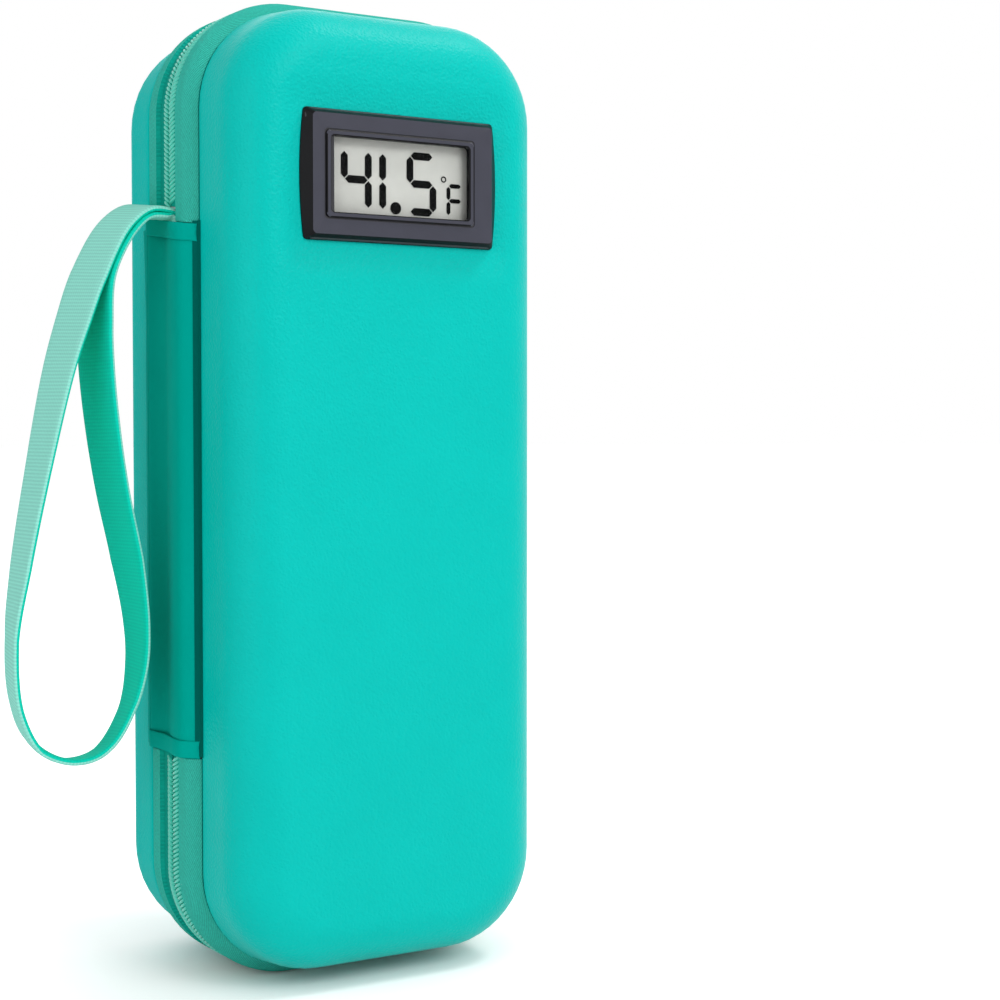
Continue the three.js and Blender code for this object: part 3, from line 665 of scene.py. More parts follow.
def break_edges(piece: Piece, width: float, segments: int, sharp_deg: float) -> None:
    """Rounds a piece's sharp edges.

    Args:
        piece: The object to change.
        width: The width of the broken edges.
        segments: The segments of each.
        sharp_deg: The least angle of an edge that counts as sharp.
    """
    limit = math.radians(sharp_deg)
    modify(
        piece, "BEVEL", width=width, segments=segments, limit_method="ANGLE", angle_limit=limit
    )


def new_piece(name: str, mesh: bpy.types.Mesh) -> Piece:
    """Puts a mesh into the scene as a piece.

    Args:
        name: The piece's name.
        mesh: Its mesh.

    Returns:
        The object.
    """
    piece = bpy.data.objects.new(name, mesh)
    bpy.context.scene.collection.objects.link(piece)
    return piece


def named(name: str) -> Piece:
    """Names the object that was just added.

    Args:
        name: The piece's name.

    Returns:
        The object.
    """
    piece = bpy.context.active_object
    piece.name = name
    piece.data.name = name
    return piece


def fix(piece: Piece) -> None:
    """Puts a piece's place, turn and scale into its mesh."""
    take_up(piece)
    bpy.ops.object.transform_apply(location=True, rotation=True, scale=True)


def join(pieces: Sequence[Piece], name: str) -> Piece:
    """Joins pieces into one.

    Args:
        pieces: The objects, of which the first is kept.
        name: The joined piece's name.

    Returns:
        The joined object.
    """
    take_up(pieces[0])
    for piece in pieces[1:]:
        piece.select_set(True)
    bpy.ops.object.join()
    return named(name)


def tidy(piece: Piece) -> None:
    """Merges doubled points and turns every face outwards.

    Args:
        piece: The object to clean.
    """
    with editing(piece):
        bpy.ops.mesh.select_all(action="SELECT")
        bpy.ops.mesh.remove_doubles(threshold=SAME_PLACE)
        bpy.ops.mesh.normals_make_consistent(inside=False)


def cut(piece: Piece, low: Vector, high: Vector, tilt: float = 0.0) -> None:
    """Cuts a block out of a piece.

    Args:
        piece: The object to cut.
        low: The block's lowest corner.
        high: The block's highest corner.
        tilt: The block's turn about x, in radians.
    """
    bpy.ops.mesh.primitive_cube_add(size=1, location=(low + high) / 2, rotation=(tilt, 0, 0))
    tool = named("cutter")
    tool.scale = high - low
    fix(tool)
    modify(piece, "BOOLEAN", operation="DIFFERENCE", solver="EXACT", object=tool)
    bpy.data.objects.remove(tool)


def paint_two(piece: Piece, finishes: tuple[Finish, Finish], test: Callable) -> None:
    """Gives a piece two finishes.

    Args:
        piece: The object to paint.
        finishes: The finish of the other faces, and that of the faces that pass the test.
        test: Takes a face and says whether it has the second finish.
    """
    for finish in finishes:
        piece.data.materials.append(finish.material())
    for face in piece.data.polygons:
        face.material_index = int(test(face))


def complete(
    piece: Piece, finish: Finish, slot: Slot, body: Body, nodes: Sequence[str], angle: float
) -> Piece:
    """Smooths, paints and mounts a finished piece, and reports it.

    Args:
        piece: The finished object.
        finish: Its surface finish.
        slot: The record's material slot. Not used.
        body: The body that it rides on.
        nodes: The solids that it stands for.
        angle: The sharpest smooth edge in degrees.

    Returns:
        The piece.
    """
    take_up(piece)
    bpy.ops.object.shade_smooth_by_angle(angle=math.radians(angle))
    if not piece.data.materials:
        piece.data.materials.append(finish.material())
    if "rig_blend" not in piece:
        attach(piece, body.value)
    if nodes:
        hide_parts(*nodes)
    LOG.info("%s: %d faces on %s", piece.name, len(piece.data.polygons), body.value)
    return piece


def plate(
    name: str,
    size: tuple[float, float],
    corner: float,
    centre: Vector,
    side: Side,
    steps: int = 12,
) -> Piece:
    """An upright flat plate with round corners.

    Args:
        name: The piece's name.
        size: Its width and height.
        corner: The radius of its corners.
        centre: The middle of the plate.
        side: Which way it faces.
        steps: The segments of each corner.

    Returns:
        The plate, as one face.
    """
    turn = (-side.value * math.pi / 2, 0, 0)
    bpy.ops.mesh.primitive_plane_add(size=1, location=centre, rotation=turn)
    piece = named(name)
    piece.scale = (size[0], size[1], 1)
    fix(piece)
    if corner:
        with editing(piece):
            pick_all("VERT")
            bpy.ops.mesh.bevel(offset=corner, segments=steps, affect="VERTICES", profile=0.5)
    return piece


def disc(name: str, sides: int, radius: float, place: Vector, turn: float = 0.0) -> Piece:
    """An upright flat disc.

    Args:
        name: The piece's name.
        sides: The number of its sides.
        radius: Its radius.
        place: Its middle.
        turn: Its turn in its own plane, in radians.

    Returns:
        The disc, as one face.
    """
    bpy.ops.mesh.primitive_circle_add(
        vertices=sides,
        radius=radius,
        fill_type="NGON",
        location=place,
        rotation=(math.pi / 2, turn, 0),
    )
    piece = named(name)
    fix(piece)
    return piece


def sheet(
    name: str, columns: int, rows: int, place: Callable[[float, float], Sequence[float]]
) -> Piece:
    """A grid of faces that is laid point by point and faces left, away from the case.

    Args:
        name: The piece's name.
        columns: The number of faces across.
        rows: The number of faces up.
        place: Gives a point's place for its shares of the way across and up.

    Returns:
        The open sheet.
    """
    bpy.ops.mesh.primitive_grid_add(
        x_subdivisions=columns, y_subdivisions=rows, size=1, location=(0, 0, 0)
    )
    piece = named(name)
    with editing(piece):
        shape = bmesh.from_edit_mesh(piece.data)
        for vert in shape.verts:
            vert.co = place(vert.co.x + 0.5, vert.co.y + 0.5)
        bmesh.update_edit_mesh(piece.data)
    if piece.data.polygons[len(piece.data.polygons) // 2].normal.x > 0:
        with editing(piece):
            bpy.ops.mesh.select_all(action="SELECT")
            bpy.ops.mesh.flip_normals()
    return piece


def raise_in_steps(piece: Piece, steps: Steps) -> None:
    """Insets a plate's face once a step, so that rings of wall rise from its edge.

    Args:
        piece: The plate.
        steps: How far each ring goes in and how far it goes along the plate's facing.
    """
    with editing(piece):
        pick_all("FACE")
        step_in(steps)


def step_in(steps: Steps) -> None:
    """Insets the face in hand once a step.

    Args:
        steps: How far each ring goes in and how far it goes along the face's normal.
    """
    for inward, along in steps:
        bpy.ops.mesh.inset(thickness=inward, depth=along)


def round_over(radius: float, count: int) -> list[tuple[float, float]]:
    """The steps of a quarter round, from a wall to a face.

    Args:
        radius: The fillet's radius.
        count: The number of steps.

    Returns:
        Inset and rise of each step.
    """
    turns = [math.pi / 2 * step / count for step in range(count + 1)]
    return [
        (radius * (math.cos(a) - math.cos(b)), radius * (math.sin(b) - math.sin(a)))
        for a, b in zip(turns, turns[1:])
    ]


def refined(node: str, edge: float, segments: int = 2) -> Piece:
    """A solid of the frame as a new piece with its sharp edges broken.

    Args:
        node: The solid's name.
        edge: The width of the broken edges.
        segments: The segments of each.

    Returns:
        The new piece.
    """
    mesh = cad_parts[node].data.copy()
    mesh.materials.clear()
    piece = new_piece(node + "_dressed", mesh)
    with editing(piece):
        bpy.ops.mesh.select_all(action="SELECT")
        bpy.ops.mesh.remove_doubles(threshold=SAME_PLACE)
        bpy.ops.mesh.dissolve_limited(angle_limit=math.radians(1))
    break_edges(piece, edge, segments, sharp_deg=40)
    return piece


@dataclass(frozen=True)
class Outline:
    """The case's outline in the xz plane, followed upwards from the middle of its left side."""

    half_width: float
    height: float
    radius: float

    @property
    def bend(self) -> float:
        """The length of one corner's arc."""
        return self.radius * math.pi / 2

    @property
    def flat(self) -> float:
        """The straight run of the top."""
        return 2 * (self.half_width - self.radius)

    @property
    def upright(self) -> float:
        """The straight run of a side."""
        return self.height - 2 * self.radius

    @property
    def length(self) -> float:
        """The whole way round."""
        return 2 * (self.flat + self.upright) + 4 * self.bend

    def stops(self) -> list[float]:
        """The lengths at which straight runs and corners begin."""
        runs = [self.upright / 2, self.flat, self.upright, self.flat]
        return [0.0, *np.cumsum([length for run in runs for length in (run, self.bend)])]

    def at(self, along: float) -> tuple[Vector, Vector]:
        """The point and the outward direction at a length from the start.

        Args:
            along: The length along the outline.

        Returns:
            The point and the direction, both in the xz plane.
        """
        stops = self.stops()
        run = max(i for i, stop in enumerate(stops) if along >= stop)
        rest = along - stops[run]
        inner = self.half_width - self.radius
        top = self.height - self.radius
        corners = {
            1: (-inner, top, 180),
            3: (inner, top, 90),
            5: (inner, self.radius, 0),
            7: (-inner, self.radius, -90),
        }
        if run in corners:
            x, z, start = corners[run]
            turn = math.radians(start) - rest / self.radius
            out = Vector((math.cos(turn), 0, math.sin(turn)))
            return Vector((x, 0, z)) + out * self.radius, out
        starts = {
            0: ((-self.half_width, self.height / 2), (0, 1), (-1, 0)),
            2: ((-inner, self.height), (1, 0), (0, 1)),
            4: ((self.half_width, top), (0, -1), (1, 0)),
            6: ((inner, 0), (-1, 0), (0, -1)),
            8: ((-self.half_width, self.radius), (0, 1), (-1, 0)),
        }
        (x, z), (dx, dz), (ox, oz) = starts[run]
        return Vector((x + dx * rest, 0, z + dz * rest)), Vector((ox, 0, oz))

    def along(self, x: float, z: float) -> float:
        """The length along the outline nearest to a point.

        Args:
            x: The point's place across.
            z: The point's height.

        Returns:
            The length from the outline's start.
        """
        stops = self.stops()
        inner = self.half_width - self.radius
        top = self.height - self.radius
        centre_x = min(max(x, -inner), inner)
        centre_z = min(max(z, self.radius), top)
        right = x - centre_x
        over = z - centre_z
        if right and over:
            corners = {(-1, 1): (1, 180), (1, 1): (3, 90), (1, -1): (5, 0), (-1, -1): (7, -90)}
            run, start = corners[int(math.copysign(1, right)), int(math.copysign(1, over))]
            turn = start - math.degrees(math.atan2(over, right))
            return stops[run] + self.radius * math.radians(turn)
        if over > 0:
            return stops[2] + x + inner
        if right > 0:
            return stops[4] + top - z
        if over < 0:
            return stops[6] + inner - x
        if z >= self.height / 2:
            return z - self.height / 2
        return self.length - (self.height / 2 - z)


def lay_round(piece: Piece, outline: Outline) -> None:
    """Lays a woven pattern along the case's outline, with depth as the way across.

    Args:
        piece: The band.
        outline: The outline that it follows.
    """
    while piece.data.uv_layers:
        piece.data.uv_layers.remove(piece.data.uv_layers[0])
    layer = piece.data.uv_layers.new(name="lay")
    places = []
    for vertex in piece.data.vertices:
        spot = vertex.co
        along = outline.along(spot.x, spot.z)
        edge, out = outline.at(along)
        sunk = (edge - Vector((spot.x, 0, spot.z))).dot(out)
        places.append((along, spot.y + math.copysign(sunk, spot.y)))
    for loop in piece.data.loops:
        layer.data[loop.index].uv = places[loop.vertex_index]


def smooth_route(points: Sequence[Vector], count: int) -> list[Vector]:
    """Even points on the smooth curve through chosen points.

    Args:
        points: The chosen points.
        count: How many points to give back.

    Returns:
        Points at equal distances along the curve.
    """
    ends = [2 * points[0] - points[1], *points, 2 * points[-1] - points[-2]]
    dense: list[Vector] = []
    for p0, p1, p2, p3 in zip(ends, ends[1:], ends[2:], ends[3:]):
        spans = ((p0, p1), (p1, p2), (p2, p3))
        d0, d1, d2 = (max((b - a).length, 1e-9) ** 0.5 for a, b in spans)
        m1 = ((p1 - p0) / d0 - (p2 - p0) / (d0 + d1) + (p2 - p1) / d1) * d1
        m2 = ((p2 - p1) / d1 - (p3 - p1) / (d1 + d2) + (p3 - p2) / d2) * d1
        for t in np.linspace(0, 1, ROUTE_STEPS, endpoint=False):
            bend = p1 + m1 * t + (-3 * p1 + 3 * p2 - 2 * m1 - m2) * t**2
            dense.append(bend + (2 * p1 - 2 * p2 + m1 + m2) * t**3)
    dense.append(points[-1])
    cloud = np.array(dense)
    run = np.concatenate([[0], np.cumsum(np.linalg.norm(np.diff(cloud, axis=0), axis=1))])
    even = np.linspace(0, run[-1], count)
    return [Vector([np.interp(s, run, cloud[:, axis]) for axis in range(3)]) for s in even]


@dataclass(frozen=True)
class Ribbon:
    """Flat webbing or elastic with rounded edges."""

    width: float
    thickness: float
    flats: int = 8
    rounds: int = 4

    def section(self) -> list[tuple[float, float]]:
        """The points of the ribbon's section, across and through.

        Returns:
            The points in order round it.
        """
        radius = self.thickness / 2
        reach = self.width / 2 - radius
        turns = [math.pi * step / self.rounds - math.pi / 2 for step in range(self.rounds + 1)]
        right = [(reach + radius * math.cos(a), radius * math.sin(a)) for a in turns]
        top = [(reach - 2 * reach * step / self.flats, radius) for step in range(1, self.flats)]
        return right + top + [(-x, -y) for x, y in right] + [(-x, -y) for x, y in top]

    def is_inner(self, face: int) -> bool:
        """Whether a face of a swept ribbon lies on the inner side of its bend."""
        spot = face % len(self.section())
        return self.rounds // 2 <= spot < self.rounds + self.flats + self.rounds // 2

    def sweep(self, name: str, path: Sequence[Vector], across: Sequence[Vector]) -> Piece:
        """Sweeps the ribbon along a path, with its lay as a pattern map.

        Args:
            name: The piece's name.
            path: The points of its middle line.
            across: The direction of its width at each point.

        Returns:
            The closed ribbon.
        """
        section = self.section()
        count = len(section)
        runs = [0.0]
        points: list[Vector] = []
        for index, place in enumerate(path):
            heading = (path[min(index + 1, len(path) - 1)] - path[max(index - 1, 0)]).normalized()
            through = heading.cross(across[index]).normalized()
            width = through.cross(heading).normalized()
            points += [place + width * a + through * b for a, b in section]
            if index:
                runs.append(runs[-1] + (place - path[index - 1]).length)
        last = (len(path) - 1) * count
        faces = []
        for ring in range(0, last, count):
            for spot in range(count):
                here, there = ring + spot, ring + (spot + 1) % count
                faces.append((here, there, there + count, here + count))
        faces += [tuple(range(count))[::-1], tuple(range(last, last + count))]
        mesh = bpy.data.meshes.new(name)
        mesh.from_pydata(points, [], faces)
        layer = mesh.uv_layers.new(name="lay")
        for loop in mesh.loops:
            ring, spot = divmod(loop.vertex_index, count)
            layer.data[loop.index].uv = (runs[ring], section[spot][0])
        piece = new_piece(name, mesh)
        tidy(piece)
        return piece


@dataclass(frozen=True)
class Lamp:
    """A square soft lamp that faces the case."""

    name: str
    place: tuple[float, float, float]
    size: float
    power: float
    aim: tuple[float, float, float] = (0.0, 0.0, 0.11)

    def build(self) -> None:
        """Puts the lamp in its place and turns it to the case."""
        data = bpy.data.lights.new(self.name, "AREA")
        data.size = self.size
        data.energy = self.power
        lamp = bpy.data.objects.new(self.name, data)
        bpy.context.scene.collection.objects.link(lamp)
        lamp.location = self.place
        gaze = Vector(self.aim) - Vector(self.place)
        lamp.rotation_euler = gaze.to_track_quat("-Z", "Y").to_euler()


LAMPS = (
    Lamp("lamp_key", (0.25, -1.25, 0.9), 0.6, 6.0),
    Lamp("lamp_fill", (-1.1, -0.6, 0.5), 0.9, 2.8),
    Lamp("lamp_top", (0.55, -0.3, 1.15), 0.28, 4.4),
    Lamp("lamp_back", (0.5, 1.1, 0.7), 0.9, 2.2),
)


@dataclass
class Studio:
    """The camera at the photograph's place, a pale floor and soft plain light."""

    camera_place: tuple[float, float, float] = (-0.2164, -0.4187, 0.1251)
    yaw: float = 32.25
    pitch: float = -1.979
    lens_mm: float = 70.45
    sensor_mm: float = 36
    clip_start: float = 0.01
    sky_level: float = 0.5
    floor_size: float = 30
    floor_drop: float = 0.2 * MM
    floor_tone: float = 0.86
    floor_glow: float = 0.62
    shade_reach: float = 0.06

    def build(self) -> None:
        """Makes the camera, the floor, the lamps and the sky."""
        self._camera()
        self._floor()
        for lamp in LAMPS:
            lamp.build()
        self._sky()
        bpy.context.scene.view_settings.view_transform = "Standard"

    def _camera(self) -> None:
        """Makes the scene's camera."""
        data = bpy.data.cameras.new("camera")
        data.lens = self.lens_mm
        data.sensor_width = self.sensor_mm
        data.clip_start = self.clip_start
        camera = bpy.data.objects.new("camera", data)
        bpy.context.scene.collection.objects.link(camera)
        yaw = math.radians(self.yaw)
        pitch = math.radians(self.pitch)
        level = Vector((math.sin(yaw), math.cos(yaw), 0)) * math.cos(pitch)
        gaze = level + Vector((0, 0, math.sin(pitch)))
        camera.location = self.camera_place
        camera.rotation_euler = gaze.to_track_quat("-Z", "Y").to_euler()
        bpy.context.scene.camera = camera

    @staticmethod
    def _seen(tree: bpy.types.NodeTree) -> Socket:
        """A value that is 1 where the camera, a mirror or a window looks.

        Args:
            tree: The node tree of the floor or the sky.

        Returns:
            The value's socket.
        """
        path = add_node(tree, "LightPath", {})
        value = path.outputs["Is Camera Ray"]
        for name in ("Is Glossy Ray", "Is Transmission Ray"):
            inputs = {0: value, 1: path.outputs[name]}
            value = add_node(tree, "Math", inputs, operation="MAXIMUM").outputs[0]
        return value

    def _floor(self) -> None:
        """Makes the pale floor, which keeps the case's shadow."""
        place = (0, 0, -self.floor_drop)
        bpy.ops.mesh.primitive_plane_add(size=self.floor_size, location=place)
        floor = named("floor")
        material = bpy.data.materials.new("floor_paper")
        material.use_nodes = True
        tree = material.node_tree
        tree.nodes.clear()
        near = add_node(tree, "AmbientOcclusion", {"Distance": self.shade_reach})
        inputs = {0: self._seen(tree), 1: self.floor_glow}
        level = add_node(tree, "Math", inputs, operation="MULTIPLY")
        inputs = {0: level.outputs[0], 1: near.outputs["AO"]}
        shade = add_node(tree, "Math", inputs, operation="MULTIPLY")
        glow = add_node(tree, "Emission", {"Strength": shade.outputs[0]})
        paper = add_node(tree, "BsdfDiffuse", {"Color": (*[self.floor_tone] * 3, 1)})
        both = add_node(tree, "AddShader", {0: paper.outputs[0], 1: glow.outputs[0]})
        add_node(tree, "OutputMaterial", {"Surface": both.outputs[0]})
        floor.data.materials.append(material)

    def _sky(self) -> None:
        """Makes an even sky that looks white and lights at a plain level."""
        world = bpy.data.worlds.new("studio_sky")
        bpy.context.scene.world = world
        world.use_nodes = True
        tree = world.node_tree
        sky = tree.nodes["Background"]
        sky.inputs["Color"].default_value = (1, 1, 1, 1)
        inputs = {"Value": self._seen(tree), "To Min": self.sky_level, "To Max": 1.0}
        level = add_node(tree, "MapRange", inputs)
        tree.links.new(level.outputs[0], sky.inputs["Strength"])


# How far the top hem stands down at the front, and how far it climbs to the rear
HEM_SHIFT = -1.1 * MM
HEM_TILT = 3.3 * MM

# The strap's route, as offsets in x and z from the middle of the hem's top slot
STRAP_ROUTE = [
    (0.0008, -0.0010), (0.0008, 0.0005), (0.0002, 0.0020), (-0.0025, 0.0033),
    (-0.0070, 0.0032), (-0.0124, -0.0010), (-0.0186, -0.0125), (-0.0222, -0.0225),
    (-0.0256, -0.0335), (-0.0309, -0.0575), (-0.0347, -0.0775), (-0.0368, -0.0930),
    (-0.0359, -0.1078), (-0.0318, -0.1167), (-0.0240, -0.1210), (-0.0164, -0.1193),
    (-0.0103, -0.1106), (-0.0078, -0.1002), (-0.0078, -0.0905), (-0.0099, -0.0765),
    (-0.0133, -0.0605), (-0.0155, -0.0465), (-0.0169, -0.0325), (-0.0171, -0.0225),
    (-0.0161, -0.0125), (-0.0114, -0.0029), (-0.0070, 0.0016), (-0.0028, 0.0019),
    (-0.0011, 0.0016), (-0.0008, 0.0005), (-0.0008, -0.0010),
]
# How far the webbing turns about its own line at each of those points, in degrees
STRAP_TWIST = [
    0, 0, -3, -6, -7, -8, -10, -8, -5, 1, 5, 11, 11, 8, -6, -13,
    -12, -6, -2, 4, 5, 6, 7, 7, 5, 4, 6, 5, 2, 0, 0,
]


@dataclass
class WristStrap:
    """The flat webbing loop that is sewn into the spine's top hem."""

    width: float = 16 * MM
    thickness: float = 1.3 * MM
    samples: int = 420
    twist_windows: int = 6
    bend_start: float = -44.0 * MM
    bend_end: float = -46.8 * MM

    def build(self) -> Piece:
        """Returns:
            The strap.
        """
        low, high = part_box("spine_hem_top")
        loop_low, loop_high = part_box("wrist_strap")
        middle_y = (loop_low.y + loop_high.y) / 2
        slot_x = (low.x + high.x) / 2
        chosen = [Vector((slot_x + x, middle_y, high.z + z)) for x, z in STRAP_ROUTE]
        path = smooth_route(chosen, self.samples)
        turns = self._turns(chosen, path)
        across = []
        for index, turn in enumerate(turns):
            heading = path[min(index + 1, len(path) - 1)] - path[max(index - 1, 0)]
            across.append(Matrix.Rotation(turn, 3, heading.normalized()) @ Vector((0, 1, 0)))
        webbing = Ribbon(self.width, self.thickness)
        strap = webbing.sweep("wrist_strap_webbing", path, across)
        # The inner faces of the strap get painted shade
        paint_two(strap, (STRAP_MINT, STRAP_INNER_SHADE_TEAL), lambda face: webbing.is_inner(face.index))
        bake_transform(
            strap,
            Body.SPINE.value,
            Body.LOOP.value,
            start=(self.bend_start, middle_y, high.z),
            end=(self.bend_end, middle_y, high.z),
        )
        nodes = ["strap_root", "wrist_strap"]
        return complete(strap, STRAP_MINT, Slot.WEBBING, Body.SPINE, nodes, angle=60)

    def _turns(self, chosen: Sequence[Vector], path: Sequence[Vector]) -> list[float]:
        """The webbing's turn at each point of its path, in radians.

        Args:
            chosen: The points of its route.
            path: The even points of its path.

        Returns:
            One turn for each point of the path.
        """
        cloud = np.array(path)
        run = np.concatenate([[0], np.cumsum(np.linalg.norm(np.diff(cloud, axis=0), axis=1))])
        window = len(path) // self.twist_windows
        marks: list[float] = []
        start = 0
        for point in chosen:
            gaps = np.linalg.norm(cloud[start:] - np.array(point), axis=1)
            near = start + int(np.argmin(gaps[:window]))
            marks.append(run[near])
            start = near
        return [math.radians(value) for value in np.interp(run, marks, STRAP_TWIST)]


@dataclass
class MouldedHalf:
    """One half of the case: its shell and the lined foam inside it."""

    side: Side
    body: Body
    outline: Outline
    fillet: float = 11.6 * MM
    fillet_steps: int = 12
    draft_deg: float = 6
    draft_steps: int = 4
    face_rings: tuple[float, ...] = (0.4 * MM, 1.6 * MM)
    wall: float = 3 * MM
    rim_edge: float = 0.7 * MM
    liner_gap: float = 3.3 * MM
    liner_wall: float = 6 * MM
    liner_edge: float = 1.6 * MM
    sharp_deg: float = 45
    # The thermometer's window: its margins to the sides, up and down, and in from the face
    shell_window: tuple[float, float, float] = (1.8 * MM, 1.8 * MM, 8 * MM)
    liner_window: tuple[float, float, float] = (5 * MM, 2.7 * MM, 12 * MM)
    window_lead: float = 2 * MM
    front_roughness: float = 0.36
    front_shine: float = 0.09

    def build(self) -> list[Piece]:
        """Makes the shell and the liner."""
        return [self._shell(), self._liner()]

    def _levels(self) -> tuple[float, float, float]:
        """The shell's rim, its face and how far its rim lies inside the outline.

        Returns:
            Two depths along y and a distance.
        """
        node = self.side.word + "_shell"
        low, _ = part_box(node)
        return (*self.side.depths(node), low.z)

    def _cup(self, name: str, offset: float, open_y: float) -> Piece:
        """The half's surface drawn in by an offset, open at a depth.

        Args:
            name: The piece's name.
            offset: How far it lies inside the shell's outer surface.
            open_y: The depth of its open edge.

        Returns:
            The surface, facing out.
        """
        rim, face, inset = self._levels()
        depth = abs(face - rim) - self.fillet
        lead = abs(rim - open_y)
        gap = inset + offset
        size = (2 * (self.outline.half_width - gap), self.outline.height - 2 * gap)
        centre = Vector((0, open_y, self.outline.height / 2))
        piece = plate(name, size, self.outline.radius - gap, centre, self.side)
        draft = depth * math.tan(math.radians(self.draft_deg))
        steps = [(0.0, lead)] if lead > SAME_PLACE else []
        steps += [(draft / self.draft_steps, depth / self.draft_steps)] * self.draft_steps
        steps += round_over(self.fillet - offset, self.fillet_steps)
        steps += [(ring, 0.0) for ring in self.face_rings]
        raise_in_steps(piece, steps)
        return piece

    def _give_wall(
        self, cup: Piece, wall: float, open_y: float, edge: float, segments: int
    ) -> None:
        """Thickens a cup and rounds its open edge.

        Args:
            cup: The surface.
            wall: The wall's thickness.
            open_y: The depth of its open edge.
            edge: The radius that the edge gets.
            segments: The segments of that radius.
        """
        thicken(cup, wall)
        with editing(cup):
            pick(cup, "EDGE", lambda part: self._is_rim(part, open_y))
            bpy.ops.mesh.bevel(offset=edge, segments=segments, affect="EDGES", profile=0.5)

    def _is_rim(self, edge: bmesh.types.BMEdge, open_y: float) -> bool:
        """Whether an edge lies between a wall and the flat rim.

        Args:
            edge: An edge in edit mode.
            open_y: The rim's depth.

        Returns:
            Whether it does.
        """
        if any(abs(vert.co.y - open_y) > 10 * SAME_PLACE for vert in edge.verts):
            return False
        return len(edge.link_faces) == 2 and edge.calc_face_angle() > math.radians(self.sharp_deg)

    def _window(self, piece: Piece, margins: tuple[float, float, float]) -> None:
        """Cuts the thermometer's window through the front, and leaves the rear whole.

        Args:
            piece: The shell or the liner.
            margins: How far it goes past the board to the sides and up and down, and its depth.
        """
        if self.side is Side.REAR:
            return
        low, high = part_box("circuit_board")
        _, face, _ = self._levels()
        wide, tall, deep = margins
        cut(
            piece,
            Vector((low.x - wide, face - self.window_lead, low.z - tall)),
            Vector((high.x + wide, face + deep, high.z + tall)),
        )

    def _shell(self) -> Piece:
        """Moulds the shell and rounds its rim.

        Returns:
            The shell.
        """
        node = self.side.word + "_shell"
        rim, _, _ = self._levels()
        shell = self._cup(node + "_moulded", 0.0, rim)
        self._give_wall(shell, self.wall, rim, self.rim_edge, 3)
        self._window(shell, self.shell_window)
        tidy(shell)
        return complete(shell, self._leather(), Slot.SHELL, self.body, [node], angle=40)

    def _leather(self) -> Finish:
        """The shell's finish, dished round the thermometer on the front.

        Returns:
            The finish.
        """
        if self.side is Side.REAR:
            return SHELL_TEAL
        low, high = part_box("thermometer_bezel")
        return DishedLeather(
            "finish_shell_front",
            SHELL_TEAL.colour,
            self.front_roughness,
            shine=self.front_shine,
            centre=((low.x + high.x) / 2, (low.z + high.z) / 2),
            half=((high.x - low.x) / 2, (high.z - low.z) / 2),
        )

    def _liner(self) -> Piece:
        """Makes the foam liner with its silver film.

        Returns:
            The liner.
        """
        node = self.side.word + "_liner"
        open_y, _ = self.side.depths(node)
        liner = self._cup(node + "_foam", self.liner_gap, open_y)
        self._give_wall(liner, self.liner_wall, open_y, self.liner_edge, 4)
        self._window(liner, self.liner_window)
        tidy(liner)
        return complete(liner, SILVER_FILM, Slot.LINER, self.body, [node], angle=40)


